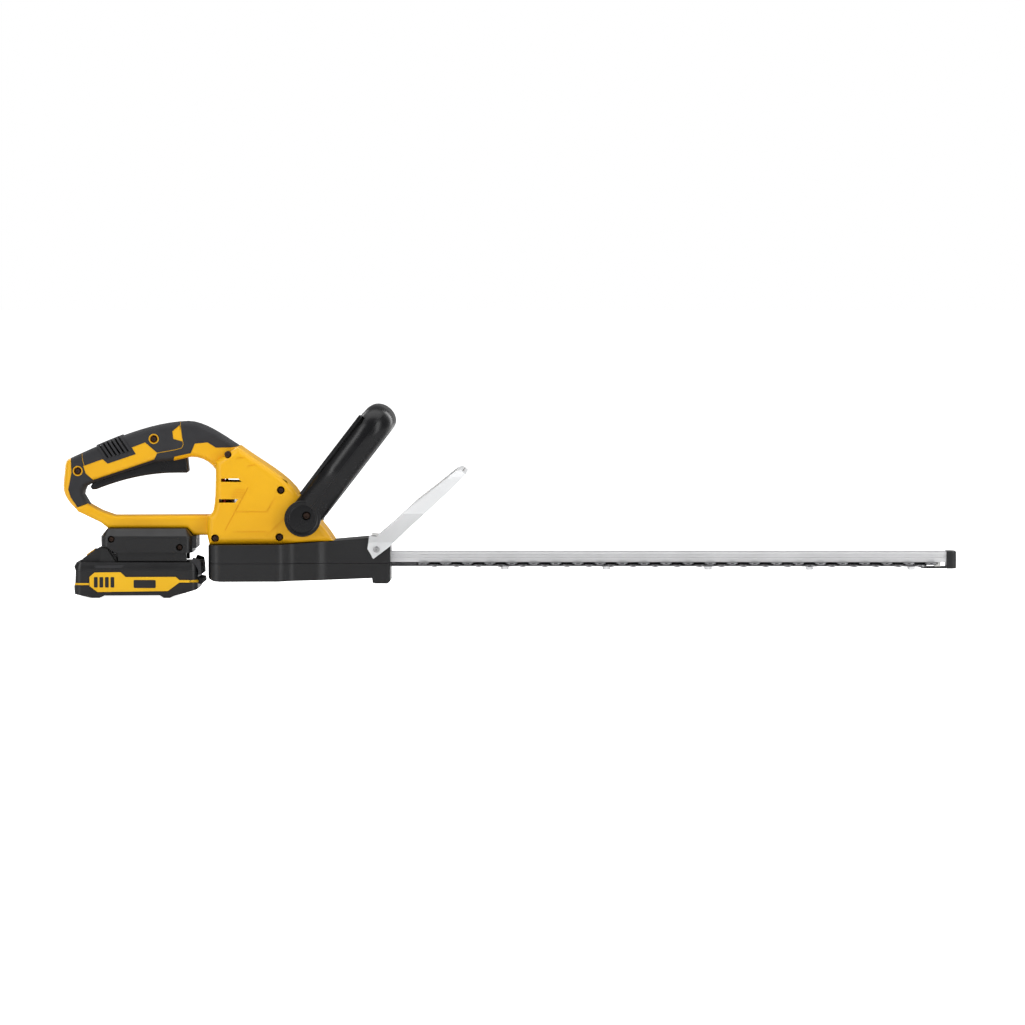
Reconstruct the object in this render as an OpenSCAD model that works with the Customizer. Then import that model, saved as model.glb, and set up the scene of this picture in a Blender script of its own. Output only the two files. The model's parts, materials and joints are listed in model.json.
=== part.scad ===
// Cordless hedge trimmer, built up from its separate mouldings, drive parts and fasteners.
// Tool frame: +X towards the blade tip, +Z up, the middle plane at y = 0.

/* [Widths] */
// Width of the motor housing
body_w = 72; // [66:1:88]
// Width of the rear grip over its soft skin
grip_w = 38; // [36:1:46]
// Width of the lower bar of the rear handle
bar_w = 40; // [36:1:48]
// Width of the battery dock
dock_w = 70; // [66:1:80]
// Width of the battery pack
battery_w = 75; // [74:1:90]
// Width of the gear case round the motor
case_w = 90; // [84:1:104]
// Width of the gear case nose
nose_w = 62; // [56:1:72]
// Width of the hand guard
guard_w = 150; // [120:5:180]
// Outside width of the front handle
loop_w = 132; // [120:2:160]

/* [Walls and fits] */
// Wall of the plastic mouldings
wall = 3; // [2.5:0.1:3.5]
// Thickness of the soft grip skin
skin = 2.5; // [2:0.1:3]
// Loose clearance between parts that slide past each other
gap = 0.3; // [0.25:0.05:0.6]
// Radial running clearance of shafts and pins
run_fit = 0.05; // [0.02:0.01:0.09]

/* [Rear handle] */
// Width of the trigger
trigger_w = 24; // [18:1:24]
// Radius of the trigger pin
trigger_pin_r = 2; // [1.5:0.1:2.4]
// Radius of the recesses for the housing screws
screw_recess_r = 4; // [3.5:0.1:4.4]

/* [Front handle] */
// Width of the handle section, fore and aft
loop_d = 32; // [28:1:36]
// Thickness of the handle section
loop_t = 19; // [18:1:24]
// Height of the handle above its hub
loop_h = 133; // [120:1:145]
// Radius of the hub
hub_r = 18; // [16:0.5:19]
// Travel of the switch bar
switch_travel = 3; // [2:0.5:3]

/* [Drive] */
// Gear module
gear_mod = 1.25; // [1.1:0.05:1.3]
// Teeth on the motor pinion
pinion_teeth = 12; // [11:1:14]
// Teeth on the drive gear
gear_teeth = 41; // [37:1:43]
// Backlash between the gears
backlash = 0.3; // [0.2:0.05:0.5]
// Radius of the gear shaft
shaft_r = 4; // [3.5:0.1:4.5]
// Radius of the cams
cam_r = 12; // [11.5:0.1:12.5]
// Radius of the motor can
can_r = 22; // [20:0.5:22.5]

/* [Cutter] */
// Distance from tooth to tooth
tooth_pitch = 22; // [18:0.5:24]
// Teeth on each side of the upper blade
tooth_count = 24; // [16:1:28]
// Width over the teeth
cutter_w = 58; // [50:1:66]
// Thickness of each blade
blade_t = 2; // [1.6:0.1:2]
// Width of the guide bar
rail_w = 22; // [20:1:26]
// Radius of the sleeves that guide the blades
sleeve_r = 3.5; // [3:0.1:4]

/* [Battery] */
// Radius of one cell
cell_r = 9.2; // [9:0.1:9.3]
// Length of one cell
cell_l = 65; // [60:1:65]
// Half width of the battery's rail neck
neck_y = 18; // [15:0.5:19]
// How far each rail stands out from the neck
rail_out = 5; // [4:0.5:6]

/* [Hidden] */
$fn = 48;

// Places along the tool
rear_x = -78;
motor_x = 102;
gear_x = motor_x + gear_mod * (pinion_teeth + gear_teeth) / 2;
first_tooth = 282;
case_end = 249;
last_tooth = first_tooth + (tooth_count - 1) * tooth_pitch;
rail_end = last_tooth + 15.5;
tip_x = rail_end + 10;
spacer_x = rail_end - 11.5;
mid_x = (rear_x + tip_x) / 2;

// Heights
low_z = 0.7;
rail_z = 35.5;
rail_h = 10.5;
slide_gap = 0.15;
upper_z = rail_z - slide_gap - blade_t;
lower_z = upper_z - slide_gap - blade_t;
gear_z0 = 38;
gear_z1 = 45;
seam_z = 35;
case_top = 53.3;
bearing_r = 9;
bearing_h = 5;
bearing_low_z = 22.9;
bearing_top_z = gear_z1 + 0.7;
wear_z = 22.8;

// Motion: a quarter of the tooth pitch each way from the middle
stroke = tooth_pitch / 4;
yoke_gap = 0.2105 * stroke + gap;

// Half widths
core_y = grip_w / 2 - skin;
dock_lip_y = neck_y + rail_out + 7;
rail_floor = 36.6;
slot_y = trigger_w / 2 + gap;
rail_y = rail_w / 2;
nose_y = nose_w / 2;

pivot = [-46.5, 121.5];
hub = [162.5, 80];
hub_screw = hub + [4, 3];
guard_screw = [235.5, 49];
loop_dir = [0.609, 0.793];
loop_tilt = atan2(loop_dir[0], loop_dir[1]);
loop_inner_y = body_w / 2;
screw_r = 1.6;
screw_hole_r = screw_r + run_fit;

// Points of a cubic curve after its first point
function curve(a, b, c, d, n = 8) =
    [for (i = [1:n]) let (t = i / n, s = 1 - t)
        s * s * s * a + 3 * s * s * t * b + 3 * s * t * t * c + t * t * t * d];
function reversed(points) = [for (i = [len(points) - 1:-1:0]) points[i]];
function mirrored(points) = reversed([for (p = points) [p[0], -p[1]]]);

// Side outlines, in x and z
handle_outline = concat(
    [[-63, 86]],
    curve([-63, 86], [-70, 92], [-78.6, 101], [-78, 112], 6),
    [[-76, 133]],
    curve([-76, 133], [-75.6, 137.4], [-73, 138], [-70, 139.5], 3),
    curve([-70, 139.5], [-30, 158], [8, 175], [46, 176], 10),
    curve([46, 176], [62, 176], [80, 163], [97.5, 151.5], 8),
    [[98, 130], [75.4, 124]],
    curve([75.4, 124], [74.5, 132], [62, 141], [50, 140.2], 6),
    [[33, 136.5], [14, 135], [-45, 115.5], [-55, 111], [-56.8, 106.5], [-57.5, 103], [-51, 92]]);
body_outline = concat(
    [[67, 62], [67, 82.4]],
    curve([67, 82.4], [74, 83], [73.6, 92], [74.8, 102], 5),
    [[75.4, 124], [75.4, 136], [97.5, 151.5]],
    curve([97.5, 151.5], [118, 136], [149, 121], [158.5, 102], 8),
    [[187, 66.5], [193, 57.5], [140, 54], [69, 53.5]]);
bar_outline = [[67.5, 82.4], [-27, 82], [-40, 86.5], [-51, 92], [-63, 86], [-40, 75],
    [-33, 69.5], [46, 69.5], [52, 62.5], [67.5, 62.5]];
grip_region = concat(
    [[-62.5, 89], [-70, 100], [-72.5, 108], [-69.2, 125], [-70, 139.5], [-70, 180], [97.5, 180],
     [97.5, 151.5], [90, 150], [75, 149.7], [66.5, 155], [54, 153.7], [50, 144.3], [33.5, 140.6],
     [32, 135], [14, 130], [-45, 110], [-60, 104], [-55, 99], [-46, 89.5]]);
inlay = [[-57.5, 131.3], [-38, 138.3], [-33, 133.8], [-5, 143.3], [-9, 150], [4.5, 155],
    [16.5, 144.5], [13.5, 137.8], [-47.5, 117.3], [-55, 124]];
small_inlay = [[39, 172.5], [31.5, 166], [32.5, 158.5], [41.5, 156]];
trigger_outline = concat(
    [[-51, 110.5], [-49, 107.6], [-45, 107.8]],
    curve([-45, 107.8], [-22, 117], [5, 124.5], [36, 124.4], 8),
    [[45.5, 124.4], [47.3, 126.2], [46, 138.5], [44.5, 147], [20, 139], [-40, 119.5], [-46, 118.8]]);
dock_outline = [[-33, 69.4], [-39, 62], [-38.5, 52.3], [-33, 51.5], [-25, 45.5], [52, 45.5],
    [52, 50], [56, 50], [56, 62.3], [52, 62.4], [46, 69.4]];
battery_outline = concat(
    [[-65, 4.5], [-48, 0.7], [-40, 0.7], [-35, 3], [20, 3.3], [24, 0.7], [30, 0.7], [35, 3],
     [45, 5.5], [56.5, 9], [58, 11], [58, 28], [56, 32], [52, 36], [-23.5, 36]],
    [[-33, 50.4], [-39, 51], [-44, 49.2], [-57, 40], [-63, 33], [-64, 28], [-64.5, 16], [-66, 12]]);
case_side = [[68, 24], [69, 20], [74, 17.5], [80, 17], [140, 17.2], [190, 18.5], [231, 20.2],
    [231.5, 15.5], [234, 14.8], [246.5, 14.8], [249, 17], [249, 52], [232, 60.3], [227, 60.3],
    [193, 57.3], [140, 53.8], [68, 53.3]];
guard_front = [[232.5, 39.5], [249, 52], [270, 72.5], [310, 109.5], [325, 125]];
guard_rear = [[320, 129.5], [315, 128], [295, 112], [275, 96.5], [250, 74], [236, 62],
    [228.5, 63], [226.5, 49.5]];
guard_back = [[322.5, 127], [308, 111.5], [268, 74.3], [247.2, 53.8], [230.8, 41.5]];

// Plan outline of the gear case at half width; the waist is two soft steps
case_half = concat(
    [[68, case_w / 2 - 14]],
    curve([68, case_w / 2 - 14], [68, case_w / 2 - 5], [73, case_w / 2], [82, case_w / 2], 6),
    [[134, case_w / 2]],
    curve([134, case_w / 2], [146, case_w / 2], [146, nose_y + 4], [158, nose_y + 4], 6),
    [[173, nose_y + 4]],
    curve([173, nose_y + 4], [181, nose_y + 4], [181, nose_y], [190, nose_y], 6),
    [[case_end, nose_y]]);

// Places that repeat
housing_screw_spots = [[-63, 126.5, grip_w], [13, 158.5, grip_w], [87.5, 143.5, body_w],
    [140.5, 108, body_w], [139, 61.2, body_w], [75, 60, body_w]];
dock_screw_spots = [[-28.5, 59], [39.5, 51]];
case_screw_x = [80, 172, 240];
bolt_count = 5;
bolt_first = first_tooth + 81;
bolt_step = (last_tooth - 19 - bolt_first) / (bolt_count - 1);
bolt_x = [for (i = [0:bolt_count - 1]) bolt_first + i * bolt_step];
rail_screw_x = [207, 227];
rail_screw_r = 2.5;
bolt_r = 2.5;
pack_wall = 2.5;
cell_x = [for (i = [-2:2]) i * (2 * cell_r + 0.6)];
terminal_y = [-12, -6, 0, 6, 12];

// Everything is drawn in the tool frame and moved to the datum below the middle of its box
module datum() translate([-mid_x, 0, -low_z]) children();

// A side outline made into a slab between two places across the tool
module slab(y0, y1) translate([0, y1, 0]) rotate([90, 0, 0]) linear_extrude(y1 - y0) children();
// The same, counted outwards from the middle plane on one side
module half(side, y0, y1) if (side < 0) slab(-y1, -y0) children(); else slab(y0, y1) children();
module across(x, z, y0, y1, r) translate([x, y1, z]) rotate([90, 0, 0]) cylinder(h = y1 - y0, r = r);
module upright(x, y, z0, z1, r) translate([x, y, z0]) cylinder(h = z1 - z0, r = r);
module block(x0, x1, y0, y1, z0, z1) translate([x0, y0, z0]) cube([x1 - x0, y1 - y0, z1 - z0]);

// A coil of round wire along +Z
module coil(r, wire, height, turns, sides = 6, steps = 12) {
    n = turns * steps;
    points = [for (i = [0:n], k = [0:sides - 1])
        let (a = 360 * i / steps, b = 360 * k / sides, d = r + wire * cos(b))
        [d * cos(a), d * sin(a), wire + (height - 2 * wire) * i / n + wire * sin(b)]];
    faces = concat(
        [for (k = [1:sides - 2]) [0, k, k + 1]],
        [for (i = [0:n - 1], k = [0:sides - 1]) let (j = (k + 1) % sides)
            [i * sides + k, (i + 1) * sides + k, (i + 1) * sides + j, i * sides + j]],
        [for (k = [1:sides - 2]) [n * sides, n * sides + k + 1, n * sides + k]]);
    polyhedron(points, faces);
}

// A round wire swept along its route
function unit(v) = v / norm(v);
module wire(route, r, sides = 8) {
    n = len(route);
    dirs = [for (i = [0:n - 1]) unit(route[min(i + 1, n - 1)] - route[max(i - 1, 0)])];
    points = [for (i = [0:n - 1], k = [0:sides - 1])
        let (u = unit(cross(dirs[i], [0.31, 0.93, 0.2])), v = cross(dirs[i], u), b = 360 * k / sides)
        route[i] + r * (cos(b) * u + sin(b) * v)];
    faces = concat(
        [for (k = [1:sides - 2]) [0, k + 1, k]],
        [for (i = [0:n - 2], k = [0:sides - 1]) let (j = (k + 1) % sides)
            [i * sides + k, i * sides + j, (i + 1) * sides + j, (i + 1) * sides + k]],
        [for (k = [1:sides - 2]) [(n - 1) * sides, (n - 1) * sides + k, (n - 1) * sides + k + 1]]);
    polyhedron(points, faces);
}

// ---- Rear handle and motor housing ----

module handle_core() {
    offset(delta = -skin) polygon(handle_outline);
    difference() {
        polygon(handle_outline);
        polygon(grip_region);
    }
}

// The way in which the trigger swings, open at the bottom
module trigger_way() slab(-slot_y, slot_y)
    polygon([[pivot[0] - 6, 100], [47.3 + 2 * gap, 100], [47.3 + 2 * gap, 158], [20, 151],
        [pivot[0] - 6, 121]]);

module housing_hollow(side) {
    half(side, -1, core_y - wall) offset(delta = -skin - wall) polygon(handle_outline);
    half(side, -1, body_w / 2 - wall) offset(delta = -wall) polygon(body_outline);
    half(side, -1, bar_w / 2 - wall) offset(delta = -wall) polygon(bar_outline);
    half(side, -1, core_y - wall) polygon([[66, 144], [79, 130], [92, 132], [92, 146], [66, 158]]);
    half(side, -1, bar_w / 2 - wall) polygon([[60, 66], [76, 66], [76, 79], [60, 79]]);
}

module housing_half(side) difference() {
    union() {
        difference() {
            union() {
                half(side, 0, core_y) handle_core();
                half(side, 0, grip_w / 2) difference() {
                    polygon(handle_outline);
                    polygon(grip_region);
                }
                half(side, 0, grip_w / 2) polygon(inlay);
                half(side, 0, grip_w / 2) polygon(small_inlay);
                half(side, 0, body_w / 2) polygon(body_outline);
                half(side, 0, bar_w / 2) polygon(bar_outline);
            }
            housing_hollow(side);
        }
        for (s = housing_screw_spots) half(side, 0, s[2] / 2 - skin) translate([s[0], s[1]])
            circle(r = screw_recess_r + 1.2);
        half(side, body_w / 2 - 14, body_w / 2 - wall) translate(hub_screw) circle(r = 5);
        for (z = [64, 100]) motor_rib(side, z);
    }
    for (s = housing_screw_spots) {
        half(side, -1, side < 0 ? s[2] / 2 : s[2] / 2 - 6) translate([s[0], s[1]]) circle(r = screw_hole_r);
        if (side < 0) half(side, s[2] / 2 - 6, s[2] / 2 + 1) translate([s[0], s[1]])
            circle(r = screw_recess_r);
    }
    half(side, body_w / 2 - 15, body_w / 2 + 1) translate(hub_screw) circle(r = screw_hole_r);
    trigger_way();
    across(pivot[0], pivot[1], -core_y + 1, core_y - 1, trigger_pin_r + run_fit);
    upright(motor_x, 0, 50, 60, 14);
    block(0, 26, -8, 8, 66, 74);
    half(side, body_w / 2 - 6, body_w / 2 + 1) vents();
}

// Plates that hold the motor can
module motor_rib(side, z) intersection() {
    difference() {
        block(motor_x - 27, motor_x + 27, -body_w / 2 + 1, body_w / 2 - 1, z, z + 2);
        upright(motor_x, 0, z - 1, z + 3, can_r + gap);
        for (y = [-29, 29]) upright(84, y, z - 1, z + 3, 3.2);
    }
    half(side, 0, body_w / 2 - 1) offset(delta = -1) polygon(body_outline);
}

module vents() {
    polygon([[81, 119.5], [81, 116.2], [101.5, 116], [98.5, 119.5]]);
    polygon([[79, 99], [79, 95.5], [95, 95.5], [98, 99]]);
}

module housing_right() color("gold") datum() housing_half(-1);
module housing_left() color("gold") datum() housing_half(1);

// Soft skin moulded over the core, with windows for the inlays
module grip_half(side) difference() {
    half(side, 0, grip_w / 2) intersection() {
        polygon(handle_outline);
        polygon(grip_region);
    }
    half(side, -1, core_y) handle_core();
    half(side, -1, grip_w / 2 + 1) polygon(inlay);
    half(side, -1, grip_w / 2 + 1) polygon(small_inlay);
    half(side, -1, body_w / 2 + 1) polygon(body_outline);
    for (i = [0, 1]) half(side, -1, side < 0 ? grip_w / 2 + 1 : -0.5)
        translate([housing_screw_spots[i][0], housing_screw_spots[i][1]]) circle(r = screw_recess_r + 1.2);
    trigger_way();
}

module grip_right() color("dimgray") datum() grip_half(-1);
module grip_left() color("dimgray") datum() grip_half(1);

// A pan head screw across the tool, its head at the outer face y = side * y_head
module side_screw(x, z, side, y_head, length) {
    half(side, y_head - 2.2, y_head) translate([x, z]) difference() {
        circle(r = 3.2);
        circle(r = 1.4, $fn = 6);
    }
    half(side, y_head - length, y_head - 2) translate([x, z]) circle(r = screw_r);
}

module housing_screws() color("gray") datum() for (s = housing_screw_spots)
    side_screw(s[0], s[1], -1, s[2] / 2 - 3.8, s[2] / 2 + 4);

module trigger() color("black") datum() difference() {
    union() {
        slab(-trigger_w / 2, trigger_w / 2) polygon(trigger_outline);
        across(pivot[0], pivot[1], -trigger_w / 2, trigger_w / 2, 5);
    }
    across(pivot[0], pivot[1], -trigger_w, trigger_w, trigger_pin_r + run_fit);
    slab(-trigger_w / 2 + 2.5, trigger_w / 2 - 2.5)
        polygon([[-36, 117], [0, 127], [40, 132], [40, 160], [-36, 140]]);
    block(13, 27, -7, 7, 130, 150);
}

module trigger_pin() color("silver") datum()
    across(pivot[0], pivot[1], -core_y + 1.2, core_y - 1.2, trigger_pin_r);

// The spring stands on the trigger floor below the front of the switch
spring_x = 30;
spring_z0 = 131.6;
spring_z1 = 163;
module trigger_spring() color("silver") datum() translate([spring_x, 0, spring_z0])
    coil(4, 0.6, spring_z1 - spring_z0, 8);

switch_x0 = -34;
switch_x1 = 4;
plunger_x = 0;
plunger_r = 2.5;
module trigger_switch() color("darkslategray") datum() difference() {
    union() {
        slab(-9, 9) polygon([[switch_x0, 134], [switch_x1, 143], [switch_x1, 160], [switch_x0, 148]]);
        block(-24, -8, -core_y + wall + gap, core_y - wall - gap, 142, 144);
    }
    upright(plunger_x, 0, 130, 156, plunger_r + run_fit);
}

module switch_plunger() color("white") datum() {
    upright(plunger_x, 0, 134.5, 149.5, plunger_r);
    upright(plunger_x, 0, 133, 134.6, 3.5);
}

// ---- Battery dock ----

module dock_hollow(side) {
    half(side, -1, dock_w / 2 - wall) offset(delta = -wall) polygon(dock_outline);
    half(side, -1, 8) polygon([[0, 60], [26, 60], [26, 75], [0, 75]]);
}

module dock_half(side) difference() {
    union() {
        difference() {
            half(side, 0, dock_w / 2) polygon(dock_outline);
            dock_hollow(side);
        }
        half(side, 0, dock_lip_y) polygon([[-22, rail_floor], [39.5, rail_floor],
            [39.5, 46.5], [-22, 46.5]]);
        for (s = dock_screw_spots) half(side, 0, dock_w / 2 - 1) translate(s) circle(r = 4.6);
    }
    half(side, -1, neck_y + gap) polygon([[-40, 30], [34, 30], [34, 45.4], [-40, 45.4]]);
    half(side, -1, neck_y + rail_out + gap) polygon([[-40, 40.7], [34, 40.7], [34, 45.4], [-40, 45.4]]);
    for (s = dock_screw_spots) {
        half(side, -1, side < 0 ? dock_w / 2 : dock_w / 2 - 6) translate(s) circle(r = screw_hole_r);
        if (side < 0) half(side, dock_w / 2 - 5, dock_w / 2 + 1) translate(s) circle(r = 3.5);
    }
    block(30.8, 34.2, -5.5, 5.5, 45, 50);
}

module dock_right() color("dimgray") datum() dock_half(-1);
module dock_left() color("dimgray") datum() dock_half(1);
module dock_screws() color("silver") datum() for (s = dock_screw_spots)
    side_screw(s[0], s[1], -1, dock_w / 2 - 2.8, dock_w / 2 + 14);

module terminal_block() color("seagreen") datum() difference() {
    block(31, 34, -16, 16, 37, 45.2);
    for (y = terminal_y) block(30, 35, y - 0.5, y + 0.5, 41, 44.5);
}
module terminal_blades() color("goldenrod") datum()
    for (y = terminal_y) block(14, 33.9, y - 0.4, y + 0.4, 41.2, 44.3);

// ---- Battery pack, which slides off towards the rear ----

battery_seam = 28;
module battery_rounded() intersection() {
    slab(-battery_w / 2, battery_w / 2) polygon(battery_outline);
    translate([0, 0, -5]) linear_extrude(70) polygon([[-66, -battery_w / 2 + 8],
        [-58, -battery_w / 2], [52, -battery_w / 2], [59, -battery_w / 2 + 7],
        [59, battery_w / 2 - 7], [52, battery_w / 2], [-58, battery_w / 2], [-66, battery_w / 2 - 8]]);
}

module battery_lower() color("dimgray") datum() difference() {
    intersection() {
        battery_rounded();
        block(-70, 70, -60, 60, -1, battery_seam);
    }
    slab(-battery_w / 2 + pack_wall, battery_w / 2 - pack_wall)
        polygon([[-60, 7.5], [-48, 5.5], [40, 5.5], [54, 11], [54, 40], [-60, 40]]);
    for (s = [-1, 1]) half(s, battery_w / 2 - 1, battery_w / 2 + 1) label_outline();
}

module battery_upper() color("dimgray") datum() difference() {
    union() {
        intersection() {
            battery_rounded();
            block(-70, 70, -60, 60, battery_seam, 36);
        }
        intersection() {
            slab(-25, 25) polygon(battery_outline);
            block(-70, -23.4, -60, 60, 35.9, 60);
        }
        slab(-neck_y, neck_y) polygon([[-24, 35.9], [30, 35.9], [30, 42], [-24, 42]]);
        slab(-neck_y - rail_out, neck_y + rail_out) polygon([[-24, 41], [30, 41], [30, 45], [-24, 45]]);
    }
    slab(-battery_w / 2 + pack_wall, battery_w / 2 - pack_wall) polygon([[-58, 20], [54, 20], [54, 33.5], [-58, 33.5]]);
    slab(-neck_y + pack_wall, neck_y - pack_wall) polygon([[-21, 30], [10, 30], [10, 42.5], [-21, 42.5]]);
    for (y = terminal_y) block(11, 31, y - 1.2, y + 1.2, 40.5, 46);
    block(10, 31, -14.5, 14.5, 30, 40.6);
    button_way();
}

module label_outline() polygon([[-50, 21.5], [-45, 26], [-19, 26.3], [-14, 21.5], [36, 21.7],
    [39.5, 18.5], [56, 18.5], [56, 16], [39.5, 16], [28, 7.5], [-42, 6.5], [-50, 12.5]]);
module battery_label() color("gold") datum()
    for (s = [-1, 1]) half(s, battery_w / 2 - 1, battery_w / 2) label_outline();

module battery_cells() color("steelblue") datum()
    for (x = cell_x) across(x, 5.7 + cell_r, -cell_l / 2, cell_l / 2, cell_r);
module battery_board() color("darkgreen") datum() difference() {
    block(-56, 44, -27, 27, board_top - 1.6, board_top);
    upright(46, 0, 20, 40, 4);
}
module battery_clips() color("goldenrod") datum() for (y = terminal_y, s = [-1, 1])
    translate([0, y, 0]) block(12, 28, s > 0 ? 0.55 : -0.95, s > 0 ? 0.95 : -0.55, 30, 44);
module battery_bumper() color("black") datum() {
    slab(-27, 27) polygon([[58, 14.5], [61, 14], [63, 16], [62.5, 20], [58, 21]]);
    slab(-dock_w / 2, dock_w / 2) polygon([[58, 24], [61.5, 24], [61, 32], [60.4, 36.2], [52.1, 36.2],
        [56.1, 32.1], [58, 28]]);
    for (s = [-1, 1]) half(s, dock_lip_y + 2 * gap, dock_w / 2)
        polygon([[60.4, 36.2], [60, 38.5], [53, 41], [51, 36.2]]);
}

// Release button on the rear shoulder, pushed straight down; its spring stands on the board
button_x0 = -55;
button_x1 = -46.5;
button_y = 10;
button_floor = 38;
button_mid = (button_x0 + button_x1) / 2;
board_top = 30;
module button_way() block(button_x0 - gap, button_x1 + gap, -button_y - gap, button_y + gap, 33, 60);
module release_button() color("yellow") datum() slab(-button_y, button_y)
    polygon([[button_x0, button_floor], [button_x1, button_floor], [button_x1, 48.9], [button_x0, 42.9]]);
module release_spring() color("silver") datum() translate([button_mid, 0, board_top + 0.1])
    coil(2.4, 0.4, button_floor - board_top - 0.2, 4);

// ---- Wiring ----

red_route = [[32.5, -3.5, 45.3], [32.5, -3.5, 52], [30, -4.5, 58], [24, -6, 62], [17, -6, 67], [18, -6, 75], [30, -8, 76],
    [56, -10, 75.5], [68, -13, 75], [77, -22, 78], [82, -29, 84], [84, -29, 96], [84, -29, 112],
    [83, -27, 121], [83, -20, 127], [81, -11.5, 133], [76, -9, 143.5], [68, -8, 153], [52, -8, 160], [34, -9.5, 162],
    [19, -9.5, 151.5], [10, -8, 149.5], [4.8, -6.5, 149.5]];
black_route = [for (p = red_route) [p[0], -p[1], p[2]]];
module wire_red() color("firebrick") datum() wire(red_route, 1.4);
module wire_black() color("black") datum() wire(black_route, 1.4);

module speed_board() color("darkgreen") datum() {
    block(87, 113, -14, 14, 121, 122.6);
    block(89, 97, -10, -2, 122.6, 127);
    block(98, 108, -8, 8, 122.6, 125);
    for (y = [-11.5, 11.5]) upright(108, y, can_z1 + 4, 121, 2);
}

// ---- Motor ----

can_z0 = 57;
can_z1 = 107;
motor_shaft_r = 2.5;
module motor_can() color("silver") datum() difference() {
    union() {
        upright(motor_x, 0, can_z0, can_z1, can_r);
        upright(motor_x, 0, can_z0 - 6, can_z0, 9);
    }
    upright(motor_x, 0, can_z0 + 2, can_z1 + 1, can_r - 1.5);
    upright(motor_x, 0, can_z0 - 4, can_z0 + 3, 6);
    upright(motor_x, 0, can_z0 - 8, can_z0, motor_shaft_r + 1);
    for (a = [45:90:315]) translate([motor_x, 0, 0]) rotate([0, 0, a])
        block(13, 18, -4, 4, can_z0 - 1, can_z0 + 3);
}
module motor_magnets() color("dimgray") datum() difference() {
    upright(motor_x, 0, 69, 98, can_r - 1.6);
    upright(motor_x, 0, 68, 99, can_r - 6);
    block(motor_x - 30, motor_x + 30, -5, 5, 68, 99);
}
module motor_cap() color("black") datum() difference() {
    union() {
        upright(motor_x, 0, can_z1, can_z1 + 4, can_r);
        upright(motor_x, 0, can_z1 + 4, can_z1 + 7, 9);
        for (s = [-1, 1]) block(motor_x + (s > 0 ? 6.8 : -15), motor_x + (s > 0 ? 15 : -6.8), -5, 5,
            can_z1 - 7, can_z1 + 0.1);
    }
    upright(motor_x, 0, can_z1 - 1, can_z1 + 5.5, 6);
    upright(motor_x, 0, can_z1 - 1, can_z1 + 9, motor_shaft_r + 0.5);
    for (s = [-1, 1]) block(motor_x + (s > 0 ? 5 : -14), motor_x + (s > 0 ? 14 : -5), -3, 3,
        can_z1 - 6, can_z1 - 1);
}
module motor_brushes() color("darkgray") datum() for (s = [-1, 1])
    block(motor_x + (s > 0 ? 6.2 : -12), motor_x + (s > 0 ? 12 : -6.2), -2.9, 2.9, can_z1 - 5.9, can_z1 - 1.1);
module motor_bushes() color("goldenrod") datum() for (z = [can_z0 - 4, can_z1 + 1]) difference() {
    upright(motor_x, 0, z, z + 4.4, 6);
    upright(motor_x, 0, z - 1, z + 6, motor_shaft_r + run_fit);
}
module motor_shaft() color("silver") datum() upright(motor_x, 0, gear_z0 - 2, can_z1 + 6, motor_shaft_r);
module motor_armature() color("chocolate") datum() difference() {
    union() {
        upright(motor_x, 0, 71, 96, can_r - 7);
        upright(motor_x, 0, 67.5, 99.5, can_r - 9.5);
    }
    upright(motor_x, 0, 60, 110, motor_shaft_r);
    for (i = [0:6]) translate([motor_x, 0, 0]) rotate([0, 0, i * 360 / 7]) block(can_r - 9.4, 30, -1, 1, 60, 110);
}
module motor_commutator() color("goldenrod") datum() difference() {
    upright(motor_x, 0, 99.5, 106, 6);
    upright(motor_x, 0, 99, 107, motor_shaft_r);
}
module motor_fan() color("whitesmoke") datum() difference() {
    union() {
        upright(motor_x, 0, 62, 67, 5);
        upright(motor_x, 0, 62, 63, can_r - 5);
        for (i = [0:8]) translate([motor_x, 0, 0]) rotate([0, 0, i * 40]) block(4, can_r - 5.5, -0.6, 0.6, 62.5, 67);
    }
    upright(motor_x, 0, 60, 70, motor_shaft_r);
}

// ---- Gears ----

function involute(a) = tan(a) * 180 / PI - a;
// Half the angle that a tooth covers at radius r
function tooth_angle(teeth, r) =
    let (pitch_r = gear_mod * teeth / 2, base_r = pitch_r * cos(20), a = acos(min(1, base_r / r)))
    90 / teeth + involute(20) - involute(a) - backlash / 4 / pitch_r * 180 / PI;
module gear_outline(teeth, addendum, turn) {
    pitch_r = gear_mod * teeth / 2;
    base_r = pitch_r * cos(20);
    root_r = pitch_r - 1.3 * gear_mod;
    top_r = pitch_r + addendum * gear_mod;
    low_r = max(base_r, root_r);
    radii = concat([root_r], [for (i = [0:3]) low_r + (top_r - low_r) * i / 3]);
    polygon([for (t = [0:teeth - 1]) let (mid = turn + t * 360 / teeth)
        each concat(
            [for (r = radii) let (a = mid - tooth_angle(teeth, max(r, low_r))) r * [cos(a), sin(a)]],
            [for (i = [len(radii) - 1:-1:0])
                let (r = radii[i], a = mid + tooth_angle(teeth, max(r, low_r))) r * [cos(a), sin(a)]])]);
}

module pinion() color("silver") datum() translate([motor_x, 0, gear_z0]) difference() {
    linear_extrude(gear_z1 - gear_z0) gear_outline(pinion_teeth, 1, 0);
    upright(0, 0, -1, gear_z1, motor_shaft_r);
}
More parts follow.
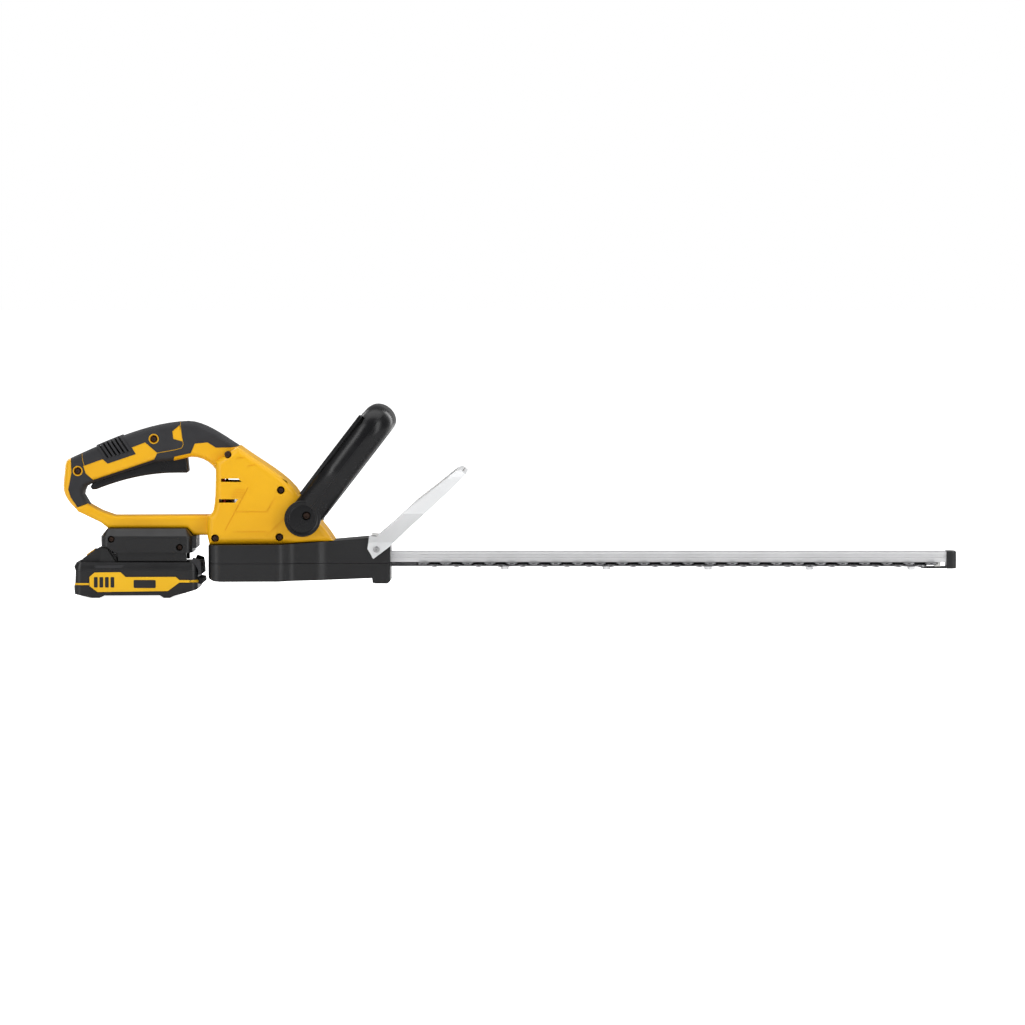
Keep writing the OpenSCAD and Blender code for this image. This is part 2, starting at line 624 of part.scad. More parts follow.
// The gear has a gap where the pinion has a tooth
module drive_gear() color("silver") datum() translate([gear_x, 0, gear_z0]) difference() {
    linear_extrude(gear_z1 - gear_z0) gear_outline(gear_teeth, 0.85, 180 + 180 / gear_teeth);
    upright(0, 0, -1, gear_z1, shaft_r);
    for (i = [0:5]) rotate([0, 0, 60 * i]) upright(gear_mod * gear_teeth * 0.3, 0, -1, gear_z1, 4);
}
module gear_shaft() color("silver") datum() union() {
    upright(gear_x, 0, 23, gear_z1 + 5.6, shaft_r);
    upright(gear_x, 0, upper_z + blade_t + 0.1, gear_z0, shaft_r + 2);
}
module cam(z, y) difference() {
    upright(gear_x, y, z, z + blade_t, cam_r);
    upright(gear_x, 0, z - 1, z + blade_t + 1, shaft_r);
}
module cam_upper() color("gray") datum() cam(upper_z, -stroke);
module cam_lower() color("gray") datum() cam(lower_z, stroke);
module gear_bearings() color("silver") datum() for (z = [bearing_low_z, bearing_top_z]) difference() {
    upright(gear_x, 0, z, z + bearing_h, bearing_r);
    upright(gear_x, 0, z - 1, z + bearing_h + 1, shaft_r + run_fit);
}

// ---- Gear case ----

module case_plan() polygon(concat(case_half, mirrored(case_half)));
module case_shape(z0, z1) intersection() {
    translate([0, 0, z0]) linear_extrude(z1 - z0) case_plan();
    slab(-case_w / 2 - 1, case_w / 2 + 1) polygon(case_side);
}
module case_bosses(z0, z1) for (x = case_screw_x, s = [-1, 1])
    upright(x, s * case_boss_y(x), z0, z1, 4);
function case_boss_y(x) = (x < 134 ? case_w / 2 : x < 180 ? nose_y + 4 : nose_y) - 6;

module gearcase_lower() color("dimgray") datum() difference() {
    union() {
        difference() {
            case_shape(10, seam_z);
            translate([0, 0, wear_z]) linear_extrude(seam_z) offset(delta = -wall) case_plan();
        }
        case_bosses(21, seam_z);
        upright(gear_x, 0, 21, bearing_low_z + bearing_h - 0.5, bearing_r + 2.5);
    }
    upright(gear_x, 0, bearing_low_z, 30, bearing_r);
    for (x = case_screw_x, s = [-1, 1]) {
        upright(x, s * case_boss_y(x), 10, seam_z + 1, screw_hole_r);
        upright(x, s * case_boss_y(x), 10, 22, 3.5);
    }
    block(case_end - 6, case_end + 1, -rail_y - gap, rail_y + gap, lower_z - 0.5, seam_z + 1);
    for (s = [-1, 1]) block(231, case_end + 1, s * 12 - 7, s * 12 + 7, 10, 16.3);
}

module gearcase_upper() color("dimgray") datum() difference() {
    union() {
        difference() {
            case_shape(seam_z, 70);
            translate([0, 0, seam_z - 1]) linear_extrude(case_top - wall - seam_z + 1)
                offset(delta = -wall) case_plan();
        }
        case_bosses(seam_z, case_top - 1);
        upright(gear_x, 0, bearing_top_z, case_top - 1, bearing_r + 2.5);
        for (s = [-1, 1]) block(198, 236, s > 0 ? rail_y + gap : -rail_y - gap - 3,
            s > 0 ? rail_y + gap + 3 : -rail_y - gap, seam_z + 4, case_top - 1);
        block(198, 236, -rail_y, rail_y, rail_z + rail_h + 0.1, case_top - 1);
    }
    upright(gear_x, 0, gear_z1 - 1, bearing_top_z + bearing_h, bearing_r);
    upright(motor_x, 0, 40, 60, 9 + run_fit);
    for (x = case_screw_x, s = [-1, 1]) upright(x, s * case_boss_y(x), seam_z - 1, 50, screw_hole_r);
    block(case_end - 6, case_end + 1, -rail_y - gap, rail_y + gap, seam_z - 1, rail_z + rail_h + gap);
    for (x = rail_screw_x) upright(x, 0, rail_z, 52, rail_screw_r + run_fit);
    for (s = [-1, 1]) half(s, nose_y - 6, nose_y + 1) translate(guard_screw) circle(r = screw_hole_r);
}

module case_screws() color("gray") datum() for (x = case_screw_x, s = [-1, 1]) {
    upright(x, s * case_boss_y(x), 20, 22, 3);
    upright(x, s * case_boss_y(x), 21.9, 48, screw_r);
}

module wear_plate() color("silver") datum() difference() {
    block(180, case_end - 14, -nose_y + wall + 6, nose_y - wall - 6, wear_z, wear_z + 1.6);
    for (x = rail_screw_x) upright(x, 0, 20, 30, 7);
}

// ---- Guide rail, blades and tip ----

rail_start = 198;
rail_section = let (h = rail_h, y = rail_y) [[-y, 0], [y, 0], [y, 4.5], [y - 1.5, 5], [y - 1.5, 7],
    [y, 7.5], [y, h], [-y, h], [-y, 7.5], [1.5 - y, 7], [1.5 - y, 5], [-y, 4.5]];
module guide_rail() color("silver") datum() difference() {
    translate([rail_start, 0, rail_z]) rotate([90, 0, 90]) linear_extrude(rail_end - rail_start) difference() {
        polygon(rail_section);
        translate([-6, 3]) square([12, 5.5]);
    }
    for (x = bolt_x) upright(x, 0, rail_z - 1, rail_z + 4, 3 + run_fit);
    for (x = rail_screw_x) upright(x, 0, rail_z - 1, rail_z + rail_h + 1, rail_screw_r + run_fit);
}
module rail_screws() color("gray") datum() for (x = rail_screw_x) {
    upright(x, 0, rail_z - slide_gap - 2 * blade_t - 6, 51.5, rail_screw_r);
    upright(x, 0, rail_z - slide_gap - 2 * blade_t - 6, rail_z - slide_gap - 2 * blade_t - 2.6, 6);
}

tooth_root_y = 12;
tooth_root = 0.62 * tooth_pitch;
tooth_tip = 0.28 * tooth_pitch;
// One edge of a blade, from the rear to the tip
function blade_edge(x0, n) = [for (i = [0:n - 1]) let (x = x0 + i * tooth_pitch)
    each [[x - tooth_root / 2, tooth_root_y], [x - tooth_tip / 2, cutter_w / 2],
        [x + tooth_tip / 2, cutter_w / 2], [x + tooth_root / 2, tooth_root_y]]];

module slotted_hole(x, r, reach) {
    translate([x - reach, 0]) circle(r = r);
    translate([x + reach, 0]) circle(r = r);
    translate([x - reach, -r]) square([2 * reach, 2 * r]);
}

module blade(z, x0, n) translate([0, 0, z]) linear_extrude(blade_t) difference() {
    union() {
        rib = [[gear_x + cam_r, 1 - rail_y], [x0 - tooth_root / 2 - 3, 1 - rail_y]];
        polygon(concat(rib, mirrored(reversed(blade_edge(x0, n))), reversed(blade_edge(x0, n)), mirrored(rib)));
        yoke_x = cam_r + yoke_gap + 4.5;
        yoke_y = cam_r + stroke + gap + 4;
        translate([gear_x - yoke_x, -yoke_y]) square([2 * yoke_x, 2 * yoke_y]);
    }
    translate([gear_x - cam_r - yoke_gap, -cam_r - stroke - gap])
        square([2 * (cam_r + yoke_gap), 2 * (cam_r + stroke + gap)]);
    for (x = bolt_x) slotted_hole(x, sleeve_r + gap, stroke + 0.5);
    for (x = rail_screw_x) slotted_hole(x, rail_screw_r + gap, stroke + 0.5);
    translate([spacer_x - stroke - 0.5, 2 - rail_y - gap]) square([30, 2 * (rail_y - 2 + gap)]);
}
module blade_upper() color("lightgray") datum() blade(upper_z, first_tooth, tooth_count);
module blade_lower() color("gray") datum() blade(lower_z, first_tooth + tooth_pitch / 2, tooth_count - 1);

module blade_sleeves() color("silver") datum() for (x = bolt_x) difference() {
    upright(x, 0, lower_z - 0.1, rail_z, sleeve_r);
    upright(x, 0, lower_z - 1, rail_z + 1, bolt_r + run_fit);
}
// Bolts with a wide washer face, and nuts held inside the hollow rail
module blade_bolts() color("gray") datum() for (x = bolt_x) {
    upright(x, 0, lower_z - 3.9, lower_z - 0.1, 5.5);
    upright(x, 0, lower_z - 1.1, lower_z - 0.1, 9);
    upright(x, 0, lower_z - 0.2, rail_z + 7.5, bolt_r);
    translate([x, 0, rail_z + 3.1]) cylinder(h = 4, r = 5.4, $fn = 6);
}

module tip_spacer() color("white") datum()
    block(spacer_x, spacer_x + 6, -rail_y + 2, rail_y - 2, lower_z, rail_z);
module tip_guard() color("black") datum() union() {
    translate([rail_end, 0, lower_z - 2.1]) linear_extrude(rail_z + rail_h - lower_z + 2.6)
        polygon([[0, -15], [6, -15], [10, -10], [10, 10], [6, 15], [0, 15]]);
    block(bolt_x[bolt_count - 1] + 9.3, rail_end + 0.5, -8, 8, lower_z - 2.1, lower_z - slide_gap);
}

// ---- Hand guard ----

guard_z = 56;
guard_outline = [[-nose_y - 3, 38], [-nose_y - 3, guard_z], [-guard_w / 2, guard_z + 30],
    [-guard_w / 2, 122], [-guard_w / 2 + 8, 131], [guard_w / 2 - 8, 131], [guard_w / 2, 122],
    [guard_w / 2, guard_z + 30], [nose_y + 3, guard_z], [nose_y + 3, 38]];
module guard_view(x0 = 220, x1 = 330) translate([x0, 0, 0]) rotate([90, 0, 90]) linear_extrude(x1 - x0) children();
module hand_guard() color("whitesmoke") datum() difference() {
    union() {
        intersection() {
            slab(-guard_w / 2, guard_w / 2) polygon(concat(guard_front, guard_rear));
            guard_view() difference() {
                polygon(guard_outline);
                offset(delta = -3) polygon(guard_outline);
                translate([-nose_y, 30]) square([nose_w, 20]);
            }
        }
        intersection() {
            slab(-guard_w / 2, guard_w / 2) polygon(concat(guard_front, guard_back));
            guard_view() polygon(guard_outline);
        }
    }
    block(220, case_end + 0.3, -nose_y, nose_y, 30, 70);
    for (s = [-1, 1]) half(s, nose_y - 1, nose_y + 4) translate(guard_screw) circle(r = screw_hole_r);
}
module guard_screws() color("gray") datum() for (s = [-1, 1])
    side_screw(guard_screw[0], guard_screw[1], s, nose_y + 5.2, 10);

// ---- Front handle: a hoop in the plane through the hub, made of two shells ----

hub_t = 14;
leg_y = loop_w / 2;
module loop_frame() translate([hub[0], 0, hub[1]]) rotate([0, loop_tilt, 0]) children();
// Drawn with the handle standing up: y across, z along its legs, x through its section
module loop_plan(shrink) {
    foot = loop_inner_y + hub_t;
    difference() {
        polygon([[foot - shrink, -4 + shrink], [foot - shrink, 12], [leg_y - shrink, 52],
            [leg_y - shrink, loop_h - 22], [leg_y - 22, loop_h - shrink], [22 - leg_y, loop_h - shrink],
            [shrink - leg_y, loop_h - 22], [shrink - leg_y, 52], [shrink - foot, 12],
            [shrink - foot, -4 + shrink]]);
        polygon([[foot - hub_t + shrink, -10], [foot - hub_t + shrink, 22 + shrink],
            [leg_y - loop_t + shrink, 56], [leg_y - loop_t + shrink, loop_h - loop_t - 10],
            [leg_y - loop_t - 10, loop_h - loop_t + shrink], [loop_t + 10 - leg_y, loop_h - loop_t + shrink],
            [loop_t - leg_y - shrink, loop_h - loop_t - 10], [loop_t - leg_y - shrink, 56],
            [hub_t - foot - shrink, 22 + shrink], [hub_t - foot - shrink, -10]]);
    }
}
module loop_slab(x0, x1) translate([x0, 0, 0]) rotate([90, 0, 90]) linear_extrude(x1 - x0) children();
module loop_shell(x0, x1) difference() {
    loop_frame() union() {
        difference() {
            loop_slab(x0, x1) loop_plan(0);
            loop_slab(x0 < 0 ? x0 + wall : -1, x0 < 0 ? 1 : x1 - wall) difference() {
                loop_plan(wall);
                square([400, 44], center = true);
            }
        }
        for (s = [-1, 1]) intersection() {
            translate([0, s > 0 ? loop_inner_y + hub_t : -loop_inner_y, 0]) rotate([90, 0, 0])
                cylinder(h = hub_t, r = hub_r);
            translate([x0, -100, -50]) cube([x1 - x0, 200, 100]);
        }
    }
    for (s = [-1, 1]) {
        half(s, loop_inner_y - 1, loop_inner_y + hub_t + 1) translate(hub_screw) circle(r = 2.1);
        half(s, loop_inner_y + hub_t - 6, loop_inner_y + hub_t + 1) translate(hub_screw) circle(r = 4.5);
    }
}
// The switch bar lies on the rear face of the handle
bar_x = loop_d / 2;
module switch_plan(extra) difference() {
    polygon([[loop_inner_y + 12 + extra, 34 - extra], [leg_y - 5 + extra, 60], [leg_y - 5 + extra, loop_h - 16],
        [leg_y - 14 + extra, loop_h - 6 + extra], [14 - leg_y - extra, loop_h - 6 + extra],
        [5 - leg_y - extra, loop_h - 16], [5 - leg_y - extra, 60], [-loop_inner_y - 12 - extra, 34 - extra]]);
    polygon([[loop_inner_y + 4 - extra, 33 - 2 * extra], [leg_y - 13 - extra, 62], [leg_y - 13 - extra, loop_h - 20],
        [leg_y - 17, loop_h - 14 - extra], [17 - leg_y, loop_h - 14 - extra],
        [13 - leg_y + extra, loop_h - 20], [13 - leg_y + extra, 62], [-loop_inner_y - 4 + extra, 33 - 2 * extra]]);
}
module loop_rear() color("black") datum() difference() {
    loop_shell(-bar_x, 0);
    loop_frame() loop_slab(-bar_x - 1, -bar_x + 2 + switch_travel + gap) switch_plan(0.4);
}
module loop_front() color("black") datum() loop_shell(0, bar_x);
module switch_bar() color("dimgray") datum() loop_frame() loop_slab(-bar_x - 2, -bar_x + 2) switch_plan(0);
module loop_screws() color("silver") datum() for (s = [-1, 1]) {
    half(s, loop_inner_y + hub_t - 6, loop_inner_y + hub_t - 2.9) translate(hub_screw) difference() {
        circle(r = 4);
        circle(r = 2, $fn = 6);
    }
    half(s, loop_inner_y - 11, loop_inner_y + hub_t - 5.9) translate(hub_screw) circle(r = screw_r);
}

housing_right();
housing_left();
grip_right();
grip_left();
housing_screws();
trigger();
trigger_pin();
trigger_spring();
trigger_switch();
switch_plunger();
dock_right();
dock_left();
dock_screws();
terminal_block();
terminal_blades();
battery_lower();
battery_upper();
battery_label();
battery_cells();
battery_board();
battery_clips();
battery_bumper();
release_button();
release_spring();
wire_red();
wire_black();
speed_board();
motor_can();
motor_magnets();
motor_cap();
motor_brushes();
motor_bushes();
motor_shaft();
motor_armature();
motor_commutator();
motor_fan();
pinion();
gearcase_lower();
gearcase_upper();
case_screws();
gear_bearings();
drive_gear();
gear_shaft();
cam_upper();
cam_lower();
wear_plate();
guide_rail();
rail_screws();
blade_upper();
blade_lower();
blade_bolts();
blade_sleeves();
tip_spacer();
tip_guard();
hand_guard();
guard_screws();
loop_rear();
loop_front();
switch_bar();
loop_screws();
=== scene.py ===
import json
import math
import bpy
import bmesh
from mathutils import Matrix, Vector
from mathutils.geometry import interpolate_bezier


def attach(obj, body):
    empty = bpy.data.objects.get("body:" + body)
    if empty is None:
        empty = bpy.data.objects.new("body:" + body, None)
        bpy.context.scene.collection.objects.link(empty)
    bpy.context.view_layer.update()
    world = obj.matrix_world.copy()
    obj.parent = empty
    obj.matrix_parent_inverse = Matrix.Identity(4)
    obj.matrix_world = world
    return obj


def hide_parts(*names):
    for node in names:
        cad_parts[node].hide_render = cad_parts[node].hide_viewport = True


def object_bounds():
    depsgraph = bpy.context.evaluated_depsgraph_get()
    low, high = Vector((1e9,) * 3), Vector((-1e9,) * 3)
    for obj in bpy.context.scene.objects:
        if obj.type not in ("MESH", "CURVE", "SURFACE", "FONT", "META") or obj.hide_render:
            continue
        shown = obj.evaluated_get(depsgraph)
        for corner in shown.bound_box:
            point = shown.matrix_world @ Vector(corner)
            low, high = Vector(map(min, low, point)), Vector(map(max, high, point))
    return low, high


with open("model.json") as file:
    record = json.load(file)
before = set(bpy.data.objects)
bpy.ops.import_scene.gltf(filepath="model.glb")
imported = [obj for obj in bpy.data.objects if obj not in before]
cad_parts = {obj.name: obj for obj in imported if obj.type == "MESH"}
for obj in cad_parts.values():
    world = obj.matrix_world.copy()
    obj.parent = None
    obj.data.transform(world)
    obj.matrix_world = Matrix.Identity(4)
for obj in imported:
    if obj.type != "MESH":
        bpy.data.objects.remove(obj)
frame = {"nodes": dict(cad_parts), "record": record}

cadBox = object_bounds()
mm = 0.001

# Pieces are drawn in the tool's own millimetres, +x to the tip and +z up, and placed by this matrix
tool = {"rearX": -78, "lowZ": 0.7}
shiftX = cadBox[0].x / mm - tool["rearX"]
place = Matrix.Scale(mm, 4) @ Matrix.Translation((shiftX, 0, -tool["lowZ"]))


def bezier(a, b, c, d, count=8):
    flat = [Vector((p[0], p[1], 0)) for p in (a, b, c, d)]
    return [(p.x, p.y) for p in interpolate_bezier(*flat, count + 1)[1:]]


def grown(outline, distance):
    count = len(outline)
    area = sum(Vector(outline[i - 1]).cross(Vector(outline[i])) for i in range(count))
    side = 1 if area > 0 else -1
    moved = []
    for i in range(count):
        before = (Vector(outline[i]) - Vector(outline[i - 1])).normalized()
        after = (Vector(outline[(i + 1) % count]) - Vector(outline[i])).normalized()
        normal = Vector((before.y + after.y, -before.x - after.x)).normalized() * side
        reach = distance / max(0.35, normal.dot(Vector((after.y, -after.x)) * side))
        moved.append(tuple(Vector(outline[i]) + normal * reach))
    return moved


def circlePoints(x, z, radius, count=32):
    turns = [2 * math.pi * i / count for i in range(count)]
    return [(x + radius * math.cos(a), z + radius * math.sin(a)) for a in turns]


def newObject(name, bm):
    bmesh.ops.recalc_face_normals(bm, faces=bm.faces)
    mesh = bpy.data.meshes.new(name)
    bm.to_mesh(mesh)
    bm.free()
    piece = bpy.data.objects.new(name, mesh)
    bpy.context.scene.collection.objects.link(piece)
    return piece


def addPrism(bm, outline, low, high, axis="y"):
    # A closed slab: a side outline pulled across, or a plan outline pulled up
    if axis == "y":
        corners = [(x, low, z) for x, z in outline]
    elif axis == "z":
        corners = [(x, y, low) for x, y in outline]
    else:
        corners = [(low, y, z) for y, z in outline]
    base = bm.faces.new([bm.verts.new(c) for c in corners])
    pulled = bmesh.ops.extrude_face_region(bm, geom=[base])
    verts = [g for g in pulled["geom"] if isinstance(g, bmesh.types.BMVert)]
    pull = {"x": (1, 0, 0), "y": (0, 1, 0), "z": (0, 0, 1)}[axis]
    bmesh.ops.translate(bm, verts=verts, vec=Vector(pull) * (high - low))
    return verts


def prism(name, outline, low, high, axis="y"):
    bm = bmesh.new()
    addPrism(bm, outline, low, high, axis)
    return newObject(name, bm)


def pillow(name, outline, low, high, radius, steps=6, squeeze=1.0, merge=0.4):
    # A side outline pulled from low out to high, its outer rim rounded by insets along a quarter circle
    out = Vector((0, -1, 0))
    bm = bmesh.new()
    base = bm.faces.new([bm.verts.new((x, -low, z)) for x, z in outline])
    pulled = bmesh.ops.extrude_face_region(bm, geom=[base])
    verts = [g for g in pulled["geom"] if isinstance(g, bmesh.types.BMVert)]
    top = [g for g in pulled["geom"] if isinstance(g, bmesh.types.BMFace)][0]
    bmesh.ops.translate(bm, verts=verts, vec=out * (high - low - radius))
    bmesh.ops.recalc_face_normals(bm, faces=bm.faces)
    for i in range(steps):
        a0, a1 = math.pi / 2 * i / steps, math.pi / 2 * (i + 1) / steps
        inset = radius * squeeze * (math.cos(a0) - math.cos(a1))
        rise = radius * (math.sin(a1) - math.sin(a0))
        bmesh.ops.inset_region(bm, faces=[top], thickness=inset, depth=rise, use_even_offset=True)
        bmesh.ops.remove_doubles(bm, verts=list(top.verts), dist=merge)
        top = max(bm.faces, key=lambda f: f.calc_center_median().dot(out))
    return newObject(name, bm)


def applied(piece):
    graph = bpy.context.evaluated_depsgraph_get()
    mesh = bpy.data.meshes.new_from_object(piece.evaluated_get(graph))
    piece.modifiers.clear()
    piece.data = mesh
    return piece


def combine(piece, others, how="DIFFERENCE"):
    for other in others:
        mod = piece.modifiers.new("combine", "BOOLEAN")
        mod.operation = how
        mod.solver = "EXACT"
        mod.object = other
    applied(piece)
    for other in others:
        bpy.data.objects.remove(other)
    return piece


def joined(name, pieces):
    bm = bmesh.new()
    for piece in pieces:
        bm.from_mesh(piece.data)
        bpy.data.objects.remove(piece)
    return newObject(name, bm)


def mirroredCopy(piece, name):
    bm = bmesh.new()
    bm.from_mesh(piece.data)
    bmesh.ops.scale(bm, vec=(1, -1, 1), verts=bm.verts)
    return newObject(name, bm)


def bothSides(build):
    # The same cutter or boss on the right and on the left
    right = build()
    left = mirroredCopy(right, "left")
    return joined("both", [right, left])


def lathe(bm, profile, centre, axis, steps=40):
    # Turns (radius, height) points about an axis through the centre
    up = Vector(axis)
    side = up.orthogonal().normalized()
    verts = [bm.verts.new(Vector(centre) + side * r + up * h) for r, h in profile]
    edges = [bm.edges.new(pair) for pair in zip(verts, verts[1:])]
    bmesh.ops.spin(bm, geom=verts + edges, cent=centre, axis=up, angle=2 * math.pi, steps=steps,
                   use_merge=True)
    bmesh.ops.remove_doubles(bm, verts=bm.verts, dist=0.001)


def screw(bm, centre, axis, radius=3.2, head=2.2, shank=1.6, length=14):
    # Pan head with a six-lobed socket; the centre is on top of the head
    up = Vector(axis)
    start = bmesh.ops.create_circle(bm, cap_ends=True, radius=radius, segments=24)["verts"]
    top = start[0].link_faces[0]
    turn = Vector((0, 0, 1)).rotation_difference(up).to_matrix().to_4x4()
    bmesh.ops.transform(bm, verts=start, matrix=Matrix.Translation(Vector(centre) - up * 0.6) @ turn)
    bmesh.ops.recalc_face_normals(bm, faces=[top])
    if top.normal.dot(up) < 0:
        bmesh.ops.reverse_faces(bm, faces=[top])
    under = bmesh.ops.extrude_edge_only(bm, edges=list(top.edges))
    low = [g for g in under["geom"] if isinstance(g, bmesh.types.BMVert)]
    bmesh.ops.translate(bm, verts=low, vec=-up * (head - 0.6))
    floor = bm.faces.new(low)
    bmesh.ops.inset_region(bm, faces=[floor], thickness=radius - shank, use_even_offset=True)
    grownOut = bmesh.ops.extrude_face_region(bm, geom=[floor])
    bmesh.ops.translate(bm, verts=[g for g in grownOut["geom"] if isinstance(g, bmesh.types.BMVert)],
                        vec=-up * (length - head))
    bmesh.ops.delete(bm, geom=[floor], context="FACES_ONLY")
    for thickness, depth in ((0.25, 0.35), (0.45, 0.25), (radius * 0.32, 0)):
        bmesh.ops.inset_region(bm, faces=[top], thickness=thickness, depth=depth, use_even_offset=True)
    middle = top.calc_center_median()
    for i, vert in enumerate(top.verts):
        lobe = 1 + 0.16 * math.cos(math.pi / 2 * i)
        vert.co = middle + (vert.co - middle) * lobe
    bmesh.ops.inset_region(bm, faces=[top], thickness=0.05, use_even_offset=True)
    sunk = bmesh.ops.extrude_face_region(bm, geom=[top])
    deep = [g for g in sunk["geom"] if isinstance(g, bmesh.types.BMVert)]
    bmesh.ops.translate(bm, verts=deep, vec=-up * 1.2)
    bmesh.ops.delete(bm, geom=[top], context="FACES_ONLY")


def softened(node, name=None):
    # A bevel-ready copy of a CAD node, with its loose triangles merged back into faces
    bm = bmesh.new()
    bm.from_mesh(frame["nodes"][node].data)
    bmesh.ops.remove_doubles(bm, verts=bm.verts, dist=0.00001)
    bmesh.ops.dissolve_limit(bm, angle_limit=math.radians(0.5), verts=bm.verts, edges=bm.edges)
    bmesh.ops.transform(bm, verts=bm.verts, matrix=place.inverted())
    return newObject(name or node + "_shell", bm)


def finish(piece, body, slot, replaces, bevel=0.4, segments=2, angle=35):
    piece.data.transform(place)
    piece.data.materials.clear()
    piece.data.materials.append(finishes[slot])
    piece.data.shade_smooth()
    if bevel:
        mod = piece.modifiers.new("edges", "BEVEL")
        mod.width = bevel * mm
        mod.segments = segments
        mod.limit_method = "ANGLE"
        mod.angle_limit = math.radians(angle)
        mod.harden_normals = False
        mod.use_clamp_overlap = True
    mod = piece.modifiers.new("shading", "WEIGHTED_NORMAL")
    mod.keep_sharp = True
    mod.weight = 80
    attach(piece, body)
    if replaces:
        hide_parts(*replaces)
    return piece


finishFacts = {
    "yellow_plastic": {"color": (0.87, 0.46, 0.004), "shade": (0.8, 0.4, 0.003), "rough": (0.34, 0.46),
                       "grain": 2600, "bump": 0.05, "shine": 0.35},
    "label_yellow": {"color": (0.87, 0.5, 0.01), "shade": (0.82, 0.45, 0.008), "rough": (0.4, 0.5),
                     "grain": 3000, "bump": 0.03, "shine": 0.35},
    "soft_grip": {"color": (0.03, 0.03, 0.033), "shade": (0.022, 0.022, 0.025), "rough": (0.62, 0.78),
                  "grain": 3500, "bump": 0.16, "shine": 0.35},
    "black_plastic": {"color": (0.012, 0.012, 0.013), "shade": (0.008, 0.008, 0.009), "rough": (0.28, 0.38),
                      "grain": 2800, "bump": 0.1, "shine": 0.42},
    "glossy_black": {"color": (0.006, 0.006, 0.007), "shade": (0.004, 0.004, 0.005), "rough": (0.24, 0.34),
                     "grain": 2200, "bump": 0.03, "shine": 0.32},
    "white_nylon": {"color": (0.75, 0.75, 0.73), "shade": (0.68, 0.68, 0.65), "rough": (0.4, 0.55),
                    "grain": 2500, "bump": 0.05, "shine": 0.35},
    "green_board": {"color": (0.01, 0.09, 0.03), "shade": (0.008, 0.06, 0.02), "rough": (0.3, 0.45),
                    "grain": 900, "bump": 0.08, "shine": 0.6},
    "cell_wrap": {"color": (0.03, 0.12, 0.28), "shade": (0.02, 0.09, 0.22), "rough": (0.3, 0.42),
                  "grain": 500, "bump": 0.05, "shine": 0.35},
    "red_wire": {"color": (0.35, 0.01, 0.008), "shade": (0.26, 0.008, 0.006), "rough": (0.45, 0.6),
                 "grain": 1800, "bump": 0.06, "shine": 0.35},
    "black_wire": {"color": (0.012, 0.012, 0.012), "shade": (0.008, 0.008, 0.008), "rough": (0.45, 0.6),
                   "grain": 1800, "bump": 0.06, "shine": 0.35},
}

metalFacts = {
    "steel": {"color": (0.56, 0.56, 0.57), "shade": (0.42, 0.42, 0.43), "rough": (0.22, 0.4),
              "streak": (900, 60, 900)},
    "blade_steel": {"color": (0.4, 0.4, 0.41), "shade": (0.22, 0.22, 0.23), "rough": (0.16, 0.28),
                    "streak": (40, 700, 700)},
    "rail_aluminium": {"color": (0.9, 0.9, 0.91), "shade": (0.84, 0.84, 0.85), "rough": (0.3, 0.42),
                       "streak": (12, 900, 1400)},
    "screw_steel": {"color": (0.075, 0.05, 0.04), "shade": (0.04, 0.025, 0.02), "rough": (0.3, 0.5),
                    "streak": (700, 700, 700)},
    "brass": {"color": (0.7, 0.45, 0.14), "shade": (0.5, 0.3, 0.08), "rough": (0.25, 0.4),
              "streak": (600, 600, 80)},
    "copper_winding": {"color": (0.45, 0.14, 0.05), "shade": (0.26, 0.07, 0.02), "rough": (0.3, 0.45),
                       "streak": (300, 300, 1600)},
    "magnet": {"color": (0.06, 0.06, 0.065), "shade": (0.035, 0.035, 0.04), "rough": (0.5, 0.7),
               "streak": (500, 500, 500)},
}

guardFacts = {"color": (0.9, 0.91, 0.92), "shade": (0.85, 0.86, 0.87), "rough": (0.3, 0.42), "bump": 0.06,
              "ior": 1.49, "through": 0.1, "alpha": 0.93}


def newMaterial(name):
    material = bpy.data.materials.new(name)
    material.use_nodes = True
    nodes = material.node_tree.nodes
    return material, nodes, material.node_tree.links, nodes["Principled BSDF"]


def noiseNode(nodes, links, vector, scale, detail=3):
    noise = nodes.new("ShaderNodeTexNoise")
    noise.inputs["Scale"].default_value = scale
    noise.inputs["Detail"].default_value = detail
    links.new(vector, noise.inputs["Vector"])
    return noise


def blended(nodes, links, amount, low, high):
    mix = nodes.new("ShaderNodeMix")
    mix.data_type = "RGBA"
    links.new(amount, mix.inputs[0])
    mix.inputs[6].default_value = (*low, 1)
    mix.inputs[7].default_value = (*high, 1)
    return mix.outputs[2]


def ranged(nodes, links, value, low, high):
    reach = nodes.new("ShaderNodeMapRange")
    reach.inputs["From Min"].default_value = 0.3
    reach.inputs["From Max"].default_value = 0.7
    reach.inputs["To Min"].default_value = low
    reach.inputs["To Max"].default_value = high
    links.new(value, reach.inputs["Value"])
    return reach.outputs["Result"]


def bumped(nodes, links, shader, height, strength, distance=0.0002):
    bump = nodes.new("ShaderNodeBump")
    bump.inputs["Strength"].default_value = strength
    bump.inputs["Distance"].default_value = distance
    links.new(height, bump.inputs["Height"])
    links.new(bump.outputs["Normal"], shader.inputs["Normal"])


def plasticFinish(name, facts):
    material, nodes, links, shader = newMaterial(name)
    spot = nodes.new("ShaderNodeTexCoord").outputs["Object"]
    clouds = noiseNode(nodes, links, spot, 18, 4)
    amount = ranged(nodes, links, clouds.outputs["Fac"], 0, 1)
    links.new(blended(nodes, links, amount, facts["shade"], facts["color"]), shader.inputs["Base Color"])
    patches = noiseNode(nodes, links, spot, 60, 3)
    links.new(ranged(nodes, links, patches.outputs["Fac"], *facts["rough"]), shader.inputs["Roughness"])
    grain = noiseNode(nodes, links, spot, facts["grain"], 2)
    bumped(nodes, links, shader, grain.outputs["Fac"], facts["bump"])
    shader.inputs["Specular IOR Level"].default_value = facts["shine"]
    return material


